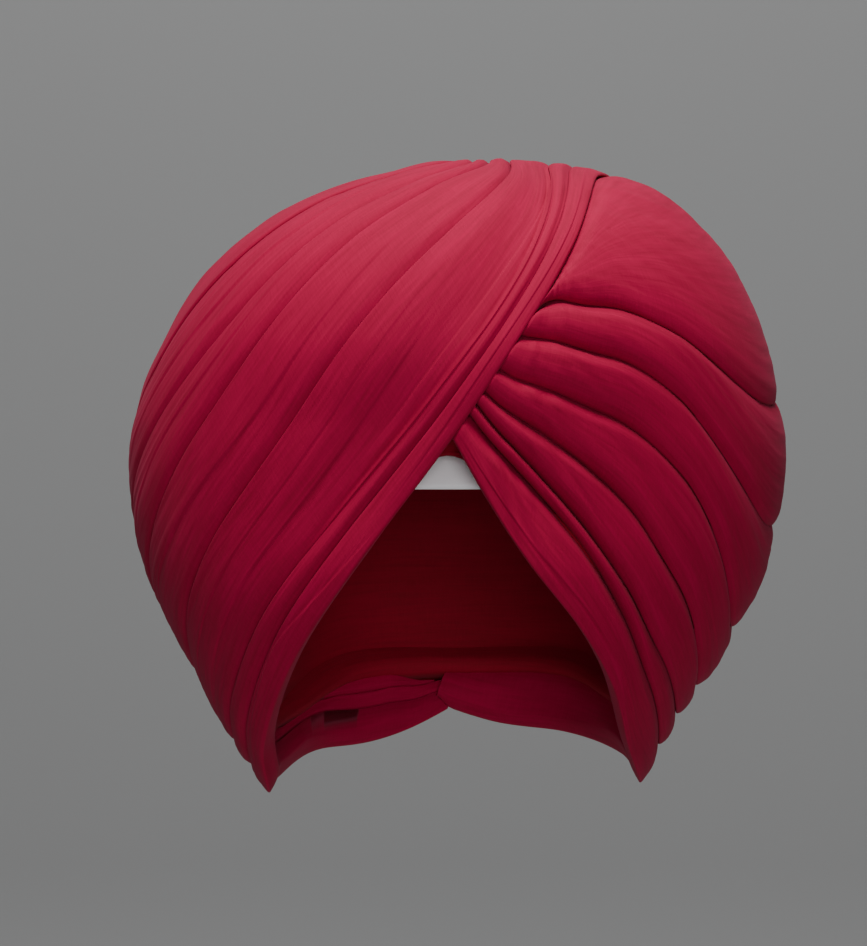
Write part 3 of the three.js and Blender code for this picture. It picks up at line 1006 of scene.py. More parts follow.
def turn_section(low: Edge, high: Edge, roll: Roll, bed: np.ndarray, samples: int) -> Section:
    """Sections of a turn between two edges.

    Args:
        low: Edge at the smaller share.
        high: Edge at the larger share.
        roll: Rounding across the turn.
        bed: Height of the underside at each row.
        samples: Points across the outer face.

    Returns:
        The sections.
    """
    width = high.at - low.at
    t = np.linspace(0, 1, samples)
    t = mixed(t, 0.5 - 0.5 * np.cos(math.pi * t), EDGE_CROWDING)
    outer_x = low.at[:, None] + width[:, None] * t
    valley = np.minimum(roll.valley, STACK.valley_share * width)[:, None]
    crown = np.minimum(roll.crown, STACK.crown_share * width)[:, None]
    outer_h = roll.rise + crown * np.sin(math.pi * t)
    for edge, off in ((low, outer_x - low.at[:, None]), (high, high.at[:, None] - outer_x)):
        if edge.kind is EdgeKind.ROOT:
            sunk = (1 - np.clip(off / valley, 0, 1)) ** 2
            outer_h = outer_h - (roll.rise + edge.root[:, None]) * sunk
        else:
            nose, deep = rounding(edge, roll, width)
            inside = np.clip(1 - off / nose[:, None], 0, 1)
            outer_h = outer_h - deep[:, None] * (1 - np.sqrt(np.maximum(1 - inside**2, 0)))

    right = edge_points(high, -1, roll, width, bed)
    left = edge_points(low, 1, roll, width, bed)[::-1]
    start, end = right[-1], left[0]
    under = [
        (mixed(start[0], end[0], s), mixed(start[1], end[1], s), True, 0.0)
        for s in UNDER_SHARES
    ]
    rest = right + under + left
    rows = len(low.at)
    return Section(
        across=np.hstack([outer_x, by_row([point[0] for point in rest], rows)]),
        height=np.hstack([outer_h, by_row([point[1] for point in rest], rows)]),
        outer=samples,
        bedded=np.array([False] * samples + [point[2] for point in rest]),
        gap=np.array([0.0] * samples + [point[3] for point in rest]),
    )


@dataclass(frozen=True)
class Grid:
    """Closed rings of points.

    Attributes:
        points: Rings by points by x, y, z, in metres.
        joined: Whether the last ring joins the first.
    """

    points: np.ndarray
    joined: bool

    def build(self, name: str) -> bpy.types.Object:
        """Mesh object with its ends closed and a UV map of metres along and round it.

        Args:
            name: Name of the object.

        Returns:
            The object, linked to the scene.
        """
        rings, count = self.points.shape[:2]
        steps = rings if self.joined else rings - 1
        i, j = np.indices((steps, count))
        ni, nj = (i + 1) % rings, (j + 1) % count
        quads = np.stack([i * count + j, i * count + nj, ni * count + nj, ni * count + j], axis=-1)
        quads = quads.reshape(-1, 4)
        closed = self.points[:, list(range(count)) + [0]]
        round_it = np.linalg.norm(np.diff(closed, axis=1), axis=2).mean(axis=0)
        round_it = np.concatenate([[0], np.cumsum(round_it)])
        middle = self.points[:, : count // 2].mean(axis=1)
        step = np.linalg.norm(np.diff(middle, axis=0, append=middle[:1]), axis=1)
        along_it = np.concatenate([[0], np.cumsum(step)])
        corners_u = np.stack([along_it[i], along_it[i], along_it[i + 1], along_it[i + 1]], axis=-1)
        corners_v = np.stack([round_it[j], round_it[j + 1], round_it[j + 1], round_it[j]], axis=-1)
        uv = np.stack([corners_u, corners_v], axis=-1).reshape(-1, 2)
        points = self.points.reshape(-1, 3)
        faces = [tuple(quad) for quad in quads.tolist()]
        mesh = bpy.data.meshes.new(name)
        caps = []
        if not self.joined:
            caps = [tuple(range(count))[::-1], tuple(range((rings - 1) * count, rings * count))]
        mesh.from_pydata(points.tolist(), [], faces + caps)
        layer = mesh.uv_layers.new(name="cloth")
        values = np.zeros((len(mesh.loops), 2))
        values[: len(uv)] = uv
        layer.data.foreach_set("uv", values.ravel())
        mesh.polygons.foreach_set("use_smooth", [True] * len(mesh.polygons))
        mesh.update()
        piece = bpy.data.objects.new(name, mesh)
        bpy.context.scene.collection.objects.link(piece)
        face_outward(mesh)
        return piece


def face_outward(mesh: bpy.types.Mesh) -> None:
    """Turn a closed mesh's faces outward.

    Args:
        mesh: Mesh to turn.
    """
    volume = 0.0
    for polygon in mesh.polygons:
        corners = [mesh.vertices[v].co for v in polygon.vertices]
        for b, c in zip(corners[1:], corners[2:]):
            volume += corners[0].dot(b.cross(c))
    if volume < 0:
        mesh.flip_normals()


def placed(piece: bpy.types.Object, slot: str, material: bpy.types.Material, *nodes: str) -> None:
    """Put a finished piece in the place of its solids.

    Args:
        piece: The piece.
        slot: Material slot of the record. Not used.
        material: Its finish.
        *nodes: Names of the solids that it stands for.
    """
    piece.data.materials.append(material)
    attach(piece, BODY)
    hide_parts(*nodes)
    log.info("%s: %d faces", piece.name, len(piece.data.polygons))


def ends_at(ends: tuple, index: int, places: tuple, row: np.ndarray) -> np.ndarray:
    """Share at which a turn ends, at each row.

    Args:
        ends: Shares of every turn at the places.
        index: Which turn. Before the first it is the family's edge, past the last it is the last.
        places: Rows that the shares stand at.
        row: Rows to take.

    Returns:
        The shares.
    """
    if index < 0:
        return 0 * row
    return Track(places, ends[min(index, len(ends) - 1)]).at(row)


@dataclass
class SideTurns:
    """The seven stacked turns of the right side.

    Attributes:
        family: Family that they lie in.
        material: Their finish.
        places: Rows that the ends stand at.
        ends: Shares up from the rim at which each turn ends.
        flats: Width and length that each was cut to, in metres.
        rows: Rows of points along each turn.
        crossing_rows: How many of them stand near the crossing.
        nape_rows: How many of them stand near the nape.
        nape_span: Rows of the family over which those stand.
        samples: Points across each turn's outer face.
        shoulder: Share by which a turn sinks on its way in under the sash.
        shoulder_length: Millimetres over which it does.
        slope: Millimetres over which it comes up from under the sash.
        shallow: Depth of the valleys at the back, in millimetres.
        shallow_rows: Rows between which they become that shallow.
        back_rows: Rows of the sash between which the topmost turn draws back from it.
    """

    family: Side
    material: bpy.types.Material
    places: tuple = (0, 2, 4, 5, 6, 7.5, 9)
    ends: tuple = (
        (0.2, 0.265, 0.165, 0.12, 0.055, 0.09, 0.12),
        (0.28, 0.33, 0.23, 0.18, 0.105, 0.16, 0.24),
        (0.37, 0.475, 0.41, 0.32, 0.16, 0.25, 0.36),
        (0.53, 0.62, 0.585, 0.51, 0.27, 0.37, 0.5),
        (0.76, 0.77, 0.71, 0.64, 0.43, 0.51, 0.64),
        (0.95, 0.9, 0.815, 0.75, 0.6, 0.67, 0.8),
        (1, 1, 1, 1, 1, 1, 1),
    )
    flats: tuple = (
        (0.031, 0.37),
        (0.025, 0.38),
        (0.031, 0.39),
        (0.038, 0.4),
        (0.042, 0.4),
        (0.045, 0.37),
        (0.07, 0.31),
    )
    rows: int = 300
    crossing_rows: int = 60
    nape_rows: int = 30
    nape_span: float = 0.4
    samples: int = 74
    shoulder: float = 0.2
    shoulder_length: float = 25.0
    slope: float = 2.0
    shallow: float = 0.7
    shallow_rows: tuple = (2.8, 5.4)
    back_rows: tuple = (10.4, 11)

    def row_list(self) -> np.ndarray:
        """Rows of points, closer together near the crossing.

        Returns:
            The rows, past both ends of the family.
        """
        nape = SIDE_END - self.nape_span
        between = self.rows - self.crossing_rows - self.nape_rows
        return np.concatenate(
            [
                np.linspace(-1, 1, self.crossing_rows, endpoint=False),
                np.linspace(1, nape, between, endpoint=False),
                np.linspace(nape, SIDE_END + 1, self.nape_rows),
            ]
        )

    def press(self, row: np.ndarray, share: np.ndarray) -> np.ndarray:
        """How far the turns are pressed flat near their ends, by the distance from the sash's edge.

        Args:
            row: Rows along them.
            share: Shares up from the rim.

        Returns:
            From 0, free, to 1, flat.
        """
        free = 1.0
        share = np.clip(share, 0, 1)
        for end, past in ((0, -row), (SIDE_END, row - SIDE_END)):
            near = self.family.aim(np.full_like(share, end), share)
            within = self.family.aim(np.full_like(share, abs(end - 0.5)), share)
            step = 2 * angle_between(near, within) * self.family.form.mean_reach
            distance = np.where(past > 0, -past * STACK.tuck, -past * step)
            shoulder = 1 - self.shoulder * (1 - ramp(distance, 0, self.shoulder_length))
            free = free * shoulder * ramp(distance, -STACK.tuck, self.slope)
        return 1 - free

    def build(self, index: int) -> bpy.types.Object:
        """Build and dress one turn.

        Args:
            index: Which turn, from the rim up.

        Returns:
            The piece.
        """
        row = self.row_list()
        within = np.clip(row, 0, SIDE_END)
        width = self.family.width(within)
        low, high, above = (
            ends_at(self.ends, k, self.places, within) * width for k in (index - 1, index, index + 1)
        )
        topmost = index == len(self.ends) - 1
        root = mixed(SIDE_ROLL.root, self.shallow, ramp(within, *self.shallow_rows))
        back = ramp(under_row(within), *self.back_rows) if topmost else 0 * row
        lower = Edge(EdgeKind.RIM if index == 0 else EdgeKind.LIP, low, STACK.tail_under(high - low), root)
        upper = Edge(
            EdgeKind.ROOT,
            high - back * STACK.set_back,
            STACK.tuck * (1 - back) if topmost else STACK.tail_under(above - high),
            root * 0 + STACK.meeting if topmost else root,
        )
        section = turn_section(lower, upper, SIDE_ROLL, root * 0 - STACK.depth, self.samples)
        rows = np.broadcast_to(row[:, None], section.across.shape)
        height = section.height.copy()
        face = slice(0, section.outer)
        edge_fade = ramp(height[:, face], -SIDE_ROLL.root, RELIEF_HEIGHT)
        streak = section.across[:, face] - low[:, None] + STREAK_SHIFT * index
        relief = self.family.relief(rows[:, face], section.across[:, face], width[:, None], streak)
        height[:, face] += relief * edge_fade
        share = section.across / width[:, None]
        height = STACK.pressed(height, self.press(rows, share), SIDE_ROLL) + section.gap
        aims = self.family.aim(rows, share)
        piece = Grid(self.family.form.over(aims, height), joined=False).build(f"turn_{index + 1}")
        placed(piece, "crimson_voile", self.material, f"wrap_{index + 1}")
        return piece


@dataclass
class SashFolds:
    """The pleats and folds of the sash.

    Attributes:
        family: Family that they lie in.
        material: Their finish.
        names: Their solids.
        places: Rows that the ends stand at.
        ends: Shares from the near edge at which each ends.
        flats: Width and length that each was cut to, in metres.
        samples: Points across the outer face of each.
        rows: Rows of points along each.
        lift_rows: Rows between which the sash comes down from the ends of the right side's turns.
        press_rows: Rows before its end between which it is pressed flat.
        crossing_rows: Rows where its near edge starts to lie over the right side, does, leaves and has left.
        far_tuck: Length tucked under the crown's cloth at the far edge, in millimetres.
        faint: Depth under its valleys at which creases and streaks have gone, in millimetres.
    """

    family: Sash
    material: bpy.types.Material
    names: tuple = (
        "sash_pleat_1",
        "sash_pleat_2",
        "sash_fold_1",
        "sash_fold_2",
        "sash_fold_3",
        "sash_fold_4",
    )
    places: tuple = (0, 3.5, 6, 8.4, 10, 12)
    ends: tuple = (
        (0.12, 0.07, 0.09, 0.095, 0.19, 0.25),
        (0.22, 0.14, 0.15, 0.16, 0.34, 0.4),
        (0.42, 0.35, 0.42, 0.5, 0.62, 0.58),
        (0.63, 0.58, 0.64, 0.72, 0.76, 0.73),
        (0.8, 0.78, 0.77, 0.82, 0.88, 0.86),
        (1, 1, 1, 1, 1, 1),
    )
    flats: tuple = (
        (0.017, 0.64),
        (0.0165, 0.64),
        (0.034, 0.64),
        (0.035, 0.63),
        (0.0295, 0.615),
        (0.036, 0.59),
    )
    samples: tuple = (48, 40, 120, 84, 64, 72)
    rows: int = 420
    lift_rows: tuple = (0.25, 0.5)
    press_rows: tuple = (0.2, 0.5)
    crossing_rows: tuple = (6, 6.5, 11, 11.5)
    far_tuck: float = 4.0
    faint: float = 0.6

    def lift(self, row: np.ndarray) -> np.ndarray:
        """How far the sash is lifted over the ends of the right side's turns.

        Args:
            row: Rows along it.

        Returns:
            From 0 to 1.
        """
        return 1 - ramp(row, *self.lift_rows)

    def press(self, row: np.ndarray) -> np.ndarray:
        """How far the sash is pressed flat where it ends under the crown's cloth.

        Args:
            row: Rows along it.

        Returns:
            From 0 to 1.
        """
        return 1 - ramp(SASH_END - row, *self.press_rows)

    def build(self, index: int) -> bpy.types.Object:
        """Build and dress one fold.

        Args:
            index: Which fold, from the edge nearer the face.

        Returns:
            The piece.
        """
        row = np.linspace(0, SASH_END, self.rows)
        width = self.family.width(row)
        before, low, high = (
            ends_at(self.ends, k, self.places, row) * width for k in (index - 2, index - 1, index)
        )
        nearest, farthest = index == 0, index == len(self.ends) - 1
        lift = self.lift(row)
        root = np.full_like(row, SASH_ROLL.root)
        crossing = np.maximum(lift, swell(row, *self.crossing_rows))
        if nearest:
            edge = mixed(STACK.depth, STACK.edge, crossing)
            seat = mixed(STACK.depth, STACK.underside, crossing)
            lower = Edge(EdgeKind.CROSSING, low, root, edge, seat)
        else:
            tail = STACK.tail_under(low - before, STACK.room(low) if index == 1 else STACK.tail)
            lower = Edge(EdgeKind.ROOT, low, tail, root)
        if farthest:
            upper = Edge(EdgeKind.ROOT, high, np.full_like(row, self.far_tuck), root)
        else:
            tail = STACK.tail_under(high - low, STACK.room(high) if nearest else STACK.tail)
            upper = Edge(EdgeKind.LIP, high, tail, root)
        bed = -mixed(STACK.depth, STACK.underside, lift)
        section = turn_section(lower, upper, SASH_ROLL, bed, self.samples[index])
        rows = np.broadcast_to(row[:, None], section.across.shape)
        height = section.height.copy()
        face = slice(0, section.outer)
        edge_fade = ramp(height[:, face], -SASH_ROLL.root - self.faint, RELIEF_HEIGHT)
        across = section.across[:, face]
        relief = self.family.relief(rows[:, face], across, width[:, None], across)
        height[:, face] += relief * edge_fade
        raised = STACK.lifted(height, lift[:, None], SASH_ROLL)
        height = np.where(section.bedded, height, raised)
        height = STACK.pressed(height, self.press(row)[:, None], SASH_ROLL) + section.gap
        aims = self.family.aim(rows, section.across / width[:, None])
        name = self.names[index]
        piece = Grid(self.family.form.over(aims, height), joined=False).build(name.replace("sash", "front"))
        placed(piece, "crimson_voile", self.material, name)
        return piece


@dataclass
class CrownCloth:
    """End of the cloth, spread over the back of the crown and drawn in to the eye.

    Attributes:
        family: Sash that it closes.
        material: Its finish.
        cover: Row of the sash that its edge lies over.
        flat: Width and length that it was cut to, in metres. Not used.
        samples: Points from its edge to the eye.
        columns: Columns of points along the sash's far edge, across its end, and down the side.
        down_from: Share at which those down the side start.
        down_lift: Millimetres before the nape over which the edge rises on to the sash.
        lift_rows: Rows of the sash between which its edge comes down.
        tuck: Length of its hem, straight in from the edge, in millimetres.
        least_slant: Least square of the slant between its edge and the way to the eye.
        folds: Soft folds that run to the eye.
        fold_height: Their height in millimetres.
        fold_rows: Rows of folds round it.
        twist: Rows that they turn by on the way in.
        seam: Rows over which they fade where the first and last meet.
        fold_shares: Shares of the way in over which they rise, and over which they fade.
    """

    family: Sash
    material: bpy.types.Material
    cover: float = SASH_END - 0.07
    flat: tuple = (0.2, 0.225)
    samples: int = 90
    columns: tuple = (240, 40, 60)
    down_from: float = 0.06
    down_lift: float = 16.0
    lift_rows: tuple = (0.25, 0.5)
    tuck: float = 6.0
    least_slant: float = 0.02
    folds: Grain = Grain(SEED + 7, 1.0, 0.02)
    fold_height: float = 0.9
    fold_rows: float = 30.0
    twist: float = 4.0
    seam: float = 2.0
    fold_shares: tuple = (0.1, 0.25)

    def edge(self) -> tuple:
        """Edge of the cloth.

        Returns:
            Unit vectors round it, and how far it is lifted at each.
        """
        row = np.linspace(0, self.cover, self.columns[0])
        across = np.linspace(1, 0, self.columns[1])[1:]
        down = np.linspace(self.down_from, 1, self.columns[2])[:-1]
        start, end = aim(*SASH_NEAR[-1]), aim(*SASH_FAR[0])
        aims = np.concatenate(
            [
                along(SASH_FAR, row),
                self.family.aim(np.full_like(across, self.cover), across),
                turn_to(start[None], end[None], down),
            ]
        )
        distance = angle_between(aims[-len(down) :], end[None]) * self.family.form.mean_reach
        near_start = 1 - ramp(distance, 0, self.down_lift)
        return aims, np.concatenate([1 - ramp(row, *self.lift_rows), 0 * across, near_start])

    def build(self) -> bpy.types.Object:
        """Build and dress the cloth.

        Returns:
            The piece.
        """
        aims, lift = self.edge()
        eye = aim(*EYE)[None]
        width = angle_between(aims, eye) * self.family.form.mean_reach
        inward = turn_to(aims, eye, np.full(len(aims), 0.01)) - aims
        edge = unit(np.roll(aims, -1, 0) - np.roll(aims, 1, 0))
        slant = np.sqrt(np.maximum(1 - (edge * unit(inward)).sum(-1) ** 2, self.least_slant))
        tail = np.minimum(self.tuck / slant, width / 2)
        root = np.full_like(width, SASH_ROLL.root)
        lower = Edge(EdgeKind.LIP, 0 * width, tail, root)
        upper = Edge(EdgeKind.RIM, width, tail, root)
        bed = np.full_like(width, -STACK.underside)
        section = turn_section(lower, upper, SASH_ROLL, bed, self.samples)
        share = section.across / width[:, None]
        height = section.height.copy()
        face = slice(0, section.outer)
        last = self.fold_rows
        turn = np.linspace(0, last, len(width), endpoint=False)[:, None] + self.twist * share[:, face]
        strength = self.fold_height * swell(turn, 0, self.seam, last - self.seam, last)
        rise, fall = self.fold_shares
        strength = strength * swell(share[:, face], 0, rise, 1 - fall, 1)
        height[:, face] += strength * self.folds.at(turn, section.across[:, face])
        lifting = lift[:, None] * np.maximum(1 - share, 0)
        raised = STACK.lifted(height, lifting, SASH_ROLL) + section.gap
        height = np.where(section.bedded, height, raised)
        turned = turn_to(aims[:, None], eye[None], share)
        points = self.family.form.over(turned, height)
        piece = Grid(points, joined=True).build("crown_cloth")
        placed(piece, "crimson_voile", self.material, "crown_tuck")
        return piece


@dataclass
class InnerWinding:
    """Earlier turns under all that shows, seen only from inside.

    Attributes:
        form: Outer form.
        material: Its finish.
        gap: Gap to the turns over it in millimetres.
        lining: Distance from the head in millimetres.
        wall: Least wall at its lower edge in millimetres.
        back: Degrees that its lower edge stays back from the rim.
        columns: Columns of points round it.
        rings: Rings of points on either face.
        lowest: Level below which its lower edge never goes, in degrees.
        highest: Level up to which it is looked for.
        step: Degrees between the levels that are tried.
        smooth: Columns to either side over which that edge is evened out.
        rounded: Millimetres by which its lower edge is rounded.
        rounded_share: Share of the way up over which it is.
        ripples: Soft ripples inside.
        ripple_columns: Degrees round the head for each row of them.
        ripple_level: Degrees up for each turn of the cloth inside.
        ripple_climb: Degrees round the head over which a turn climbs by one.
        ripple_turn: Rows of ripples across a turn.
        ripple_share: Share of the way up over which they rise.
    """

    form: Form
    material: bpy.types.Material
    gap: float = 2.0
    lining: float = 7.5
    wall: float = 14.0
    back: float = 5.0
    columns: int = 240
    rings: int = 60
    lowest: float = -60.0
    highest: float = 60.0
    step: float = 0.5
    smooth: int = 6
    rounded: float = 5.0
    rounded_share: float = 0.06
    ripples: Grain = Grain(SEED + 8, 1, 0.11, height=0.8)
    ripple_columns: float = 30.0
    ripple_level: float = 40.0
    ripple_climb: float = 900.0
    ripple_turn: float = 120.0
    ripple_share: float = 0.1

    def rim_level(self, azimuth: np.ndarray) -> np.ndarray:
        """Level of the rim of the opening.

        Args:
            azimuth: Degrees from the peak of the face opening, round to it again.

        Returns:
            Levels in degrees.
        """
        left = [place for place in SASH_NEAR if place[0] > NAPE[0]]
        places = [*SIDE_RIM, *left]
        return Track(tuple(p[0] for p in places), tuple(p[1] for p in places)).at(azimuth)

    def build(self) -> bpy.types.Object:
        """Build and dress the winding.

        Returns:
            The piece.
        """
        azimuth = APEX[0] - 360 + np.arange(self.columns) * 360 / self.columns
        tried = np.arange(self.lowest, self.highest, self.step)
        reach, head = self.form.reach(aim(azimuth[:, None], tried[None]))
        bare = (reach - head < self.wall) | (tried[None] < self.rim_level(azimuth)[:, None] + self.back)
        edge = np.where(bare, tried[None], self.lowest).max(axis=1)
        wide = np.concatenate([edge[-self.smooth :], edge, edge[: self.smooth]])
        window = 2 * self.smooth + 1
        edge = np.convolve(wide, np.ones(window) / window, mode="valid")
        share = np.linspace(0, 1, self.rings)
        level = mixed(edge[:, None], ZENITH, share[None])
        aims = aim(azimuth[:, None], level)
        rounded = self.rounded * (1 - ramp(share, 0, self.rounded_share))[None]
        outer = self.form.over(aims, 0 * level - self.form.depth - self.gap - rounded)
        turn = level / self.ripple_level + azimuth[:, None] / self.ripple_climb
        ripple = self.ripples.at(azimuth[:, None] / self.ripple_columns, self.ripple_turn * turn)
        ripple = ripple * ramp(share, 0, self.ripple_share)[None]
        inner = self.form.over_head(aims, self.lining + rounded + ripple)
        points = np.concatenate([outer, inner[:, ::-1]], axis=1)
        piece = Grid(points, joined=True).build("earlier_turns")
        placed(piece, "inner_voile", self.material, *INNER_NODES)
        return piece


@dataclass
class UnderBand:
    """Plain white band round the head.

    Attributes:
        form: Outer form, for the head in it.
        material: Its finish.
        low: Height of its lower edge in millimetres.
        tall: Its height in millimetres.
        thick: Its thickness in millimetres.
        flat: Width and length that it was cut to, in metres. Not used.
        columns: Columns of points round it.
        rings: Rings of points on either face.
        hem: Millimetres from an edge over which it is rounded.
        hem_round: Millimetres by which it is.
        off_head: Its distance from the head in millimetres.
    """

    form: Form
    material: bpy.types.Material
    low: float = -47.0
    tall: float = 34.0
    thick: float = 1.5
    flat: tuple = (0.045, 0.5)
    columns: int = 240
    rings: int = 16
    hem: float = 0.8
    hem_round: float = 0.5
    off_head: float = 0.05

    def build(self) -> bpy.types.Object:
        """Build and dress the band.

        Returns:
            The piece.
        """
        azimuth = np.arange(self.columns) * 360 / self.columns
        side = aim(azimuth, 0 * azimuth)
        share = np.linspace(0, 1, self.rings)
        start = np.zeros((self.columns, len(share), 3))
        start[..., 2] = self.low + share * self.tall
        sides = np.broadcast_to(side[:, None], start.shape)
        on_head = start + sides * self.form.head.reach(sides, start)[..., None]
        aims = unit(on_head - np.array(self.form.centre))
        edge = np.minimum(share, 1 - share) * self.tall
        rounded = self.hem_round * np.maximum(1 - edge / self.hem, 0) ** 2
        outer = self.form.over_head(aims, self.thick - rounded[None])
        inner = self.form.over_head(aims, self.off_head + rounded[None])
        points = np.concatenate([outer, inner[:, ::-1]], axis=1)
        piece = Grid(points, joined=True).build("white_band")
        placed(piece, "white_cotton", self.material, "under_band")
        return piece


# Places of the colour sockets of a Mix node
MIX_FIRST = 6
MIX_SECOND = 7
MIX_RESULT = 2


class Wire:
    """Socket of a shader that sums, scales and mixes like a number.

    Attributes:
        tree: Node tree that it is in.
        socket: The socket.
    """

    def __init__(self, tree: bpy.types.NodeTree, socket: bpy.types.NodeSocket) -> None:
        """Keep the socket.

        Args:
            tree: Node tree that it is in.
            socket: The socket.
        """
        self.tree, self.socket = tree, socket

    def node(self, kind: str, settings: dict, output: int | str = 0, **values: object) -> "Wire":
        """Any node, its settings first and then its inputs.

        Args:
            kind: Type of the node.
            settings: Settings of the node.
            output: Output to take.
            **values: Inputs by name, with underscores for spaces: numbers, colours or wires.

        Returns:
            The output.
        """
        made = self.tree.nodes.new(kind)
        for key, value in settings.items():
            setattr(made, key, value)
        for key, value in values.items():
            self.feed(made.inputs[key.replace("_", " ")], value)
        return Wire(self.tree, made.outputs[output])

    def feed(self, target: bpy.types.NodeSocket, value: object) -> None:
        """Set or link one input.

        Args:
            target: The input.
            value: Number, colour or wire.
        """
        if isinstance(value, Wire):
            self.tree.links.new(value.socket, target)
        else:
            target.default_value = value

    def maths(self, operation: str, first: object, second: object) -> "Wire":
        """Math node with two inputs.

        Args:
            operation: What it does.
            first: First value.
            second: Second value.

        Returns:
            The result.
        """
        made = self.tree.nodes.new("ShaderNodeMath")
        made.operation = operation
        self.feed(made.inputs[0], first)
        self.feed(made.inputs[1], second)
        return Wire(self.tree, made.outputs[0])

    def scaled(self, factors: tuple) -> "Wire":
        """Vector scaled part by part.

        Args:
            factors: Factors of x, y and z.

        Returns:
            The vector.
        """
        made = self.tree.nodes.new("ShaderNodeVectorMath")
        made.operation = "MULTIPLY"
        self.feed(made.inputs[0], self)
        made.inputs[1].default_value = factors
        return Wire(self.tree, made.outputs[0])

    def mix(self, first: object, second: object) -> "Wire":
        """Colour mixed by this value.

        Args:
            first: Colour at 0.
            second: Colour at 1.

        Returns:
            The colour.
        """
        made = self.tree.nodes.new("ShaderNodeMix")
        made.data_type = "RGBA"
        self.feed(made.inputs[0], self)
        self.feed(made.inputs[MIX_FIRST], first)
        self.feed(made.inputs[MIX_SECOND], second)
        return Wire(self.tree, made.outputs[MIX_RESULT])

    def __add__(self, other: object) -> "Wire":
        """Sum."""
        return self.maths("ADD", self, other)

    def __radd__(self, other: object) -> "Wire":
        """Sum with a number first."""
        return self.maths("ADD", other, self)

    def __sub__(self, other: object) -> "Wire":
        """Difference."""
        return self.maths("SUBTRACT", self, other)

    def __rsub__(self, other: object) -> "Wire":
        """Difference from a number."""
        return self.maths("SUBTRACT", other, self)

    def __mul__(self, other: object) -> "Wire":
        """Product."""
        return self.maths("MULTIPLY", self, other)

    def __rmul__(self, other: object) -> "Wire":
        """Product with a number first."""
        return self.maths("MULTIPLY", other, self)


@dataclass(frozen=True)
class Cloth:
    """Finish of a woven cloth.

    Attributes:
        name: Name of the material.
        dark: Colour in its denser streaks.
        light: Colour in its thinner streaks.
        roughness: Roughness of its surface.
        sheen: Strength of its fuzz.
        sheen_tint: Colour of its fuzz.
        streak: Strength of its long streaks in the colour, 0 to 1.
        weave: Height of its weave in metres.
        specular: Strength of its clear reflection.
        sheen_roughness: Roughness of its fuzz.
        broad: Cells a metre of its broad streaks, along, across and through.
        fine: The same of its fine streaks.
        threads: The same of its threads.
        tones: Shares of broad streaks, fine streaks and threads in the colour.
        unevenness: Share of the fine streaks in the roughness.
        thread_height: Height of the threads as a share of the fine streaks' height.
        bump: Strength of the weave's relief.
    """

    name: str
    dark: tuple
    light: tuple
    roughness: float = 0.8
    sheen: float = 0.05
    sheen_tint: tuple = (1.0, 0.35, 0.5, 1.0)
    streak: float = 0.8
    weave: float = 0.00012
    specular: float = 0.14
    sheen_roughness: float = 0.45
    broad: tuple = (9.0, 130.0, 1.0)
    fine: tuple = (45.0, 900.0, 1.0)
    threads: tuple = (1500.0, 160.0, 1.0)
    tones: tuple = (1.3, 1.1, 0.5)
    unevenness: float = 0.15
    thread_height: float = 0.7
    bump: float = 0.5

    def noise(self, place: Wire, scale: tuple, detail: float) -> Wire:
        """Soft noise drawn out along or across the cloth.

        Args:
            place: Metres along and across the cloth.
            scale: Cells a metre along, across and through.
            detail: Levels of finer noise in it.

        Returns:
            Values from 0 to 1.
        """
        return place.node(
            "ShaderNodeTexNoise",
            {"noise_dimensions": "3D"},
            Vector=place.scaled(scale),
            Scale=1.0,
            Detail=detail,
            Roughness=0.6,
        )

    def material(self) -> bpy.types.Material:
        """Build the material.

        Returns:
            The material.
        """
        made = bpy.data.materials.new(self.name)
        made.use_nodes = True
        tree = made.node_tree
        shader = tree.nodes["Principled BSDF"]
        lay = tree.nodes.new("ShaderNodeUVMap")
        lay.uv_map = "cloth"
        place = Wire(tree, lay.outputs["UV"])
        broad = self.noise(place, self.broad, 3.0)
        fine = self.noise(place, self.fine, 2.0)
        threads = self.noise(place, self.threads, 1.0)
        tone = (broad - 0.5) * self.tones[0] + (fine - 0.5) * self.tones[1] + (threads - 0.5) * self.tones[2]
        colour = (tone * self.streak + 0.5).mix(self.dark, self.light)
        bump = place.node(
            "ShaderNodeBump",
            {},
            Strength=self.bump,
            Distance=self.weave,
            Height=fine + threads * self.thread_height,
        )
        place.feed(shader.inputs["Base Color"], colour)
        place.feed(shader.inputs["Roughness"], self.roughness + (fine - 0.5) * self.unevenness)
        place.feed(shader.inputs["Normal"], bump)
        shader.inputs["Sheen Weight"].default_value = self.sheen
        shader.inputs["Sheen Roughness"].default_value = self.sheen_roughness
        shader.inputs["Sheen Tint"].default_value = self.sheen_tint
        shader.inputs["Specular IOR Level"].default_value = self.specular
        return made


VOILE = Cloth("crimson_voile_finish", dark=(0.24, 0.0012, 0.022, 1), light=(0.42, 0.003, 0.05, 1))
INNER = Cloth("inner_voile_finish", dark=(0.2, 0.002, 0.012, 1), light=(0.32, 0.005, 0.022, 1))
COTTON = Cloth(
    "white_cotton_finish",
    dark=(0.94, 0.93, 0.95, 1),
    light=(0.99, 0.98, 1, 1),
    sheen=0.1,
    sheen_tint=(1, 1, 1, 1),
    streak=0.3,
)


@dataclass(frozen=True)
class Lamp:
    """Soft square light.

    Attributes:
        name: Name of the light.
        place: Where it stands, in metres.
        size: Length of its sides in metres.
        watts: Its power.
        toward: Point that it faces.
    """

    name: str
    place: tuple
    size: float
    watts: float
    toward: tuple

    def build(self) -> None:
        """Put the light in the scene."""
        data = bpy.data.lights.new(self.name, "AREA")
        data.shape, data.size, data.energy = "SQUARE", self.size, self.watts
        lamp = bpy.data.objects.new(self.name, data)
        lamp.location = self.place
        facing = Vector(self.toward) - Vector(self.place)
        lamp.rotation_euler = facing.to_track_quat("-Z", "Y").to_euler()
        bpy.context.scene.collection.objects.link(lamp)


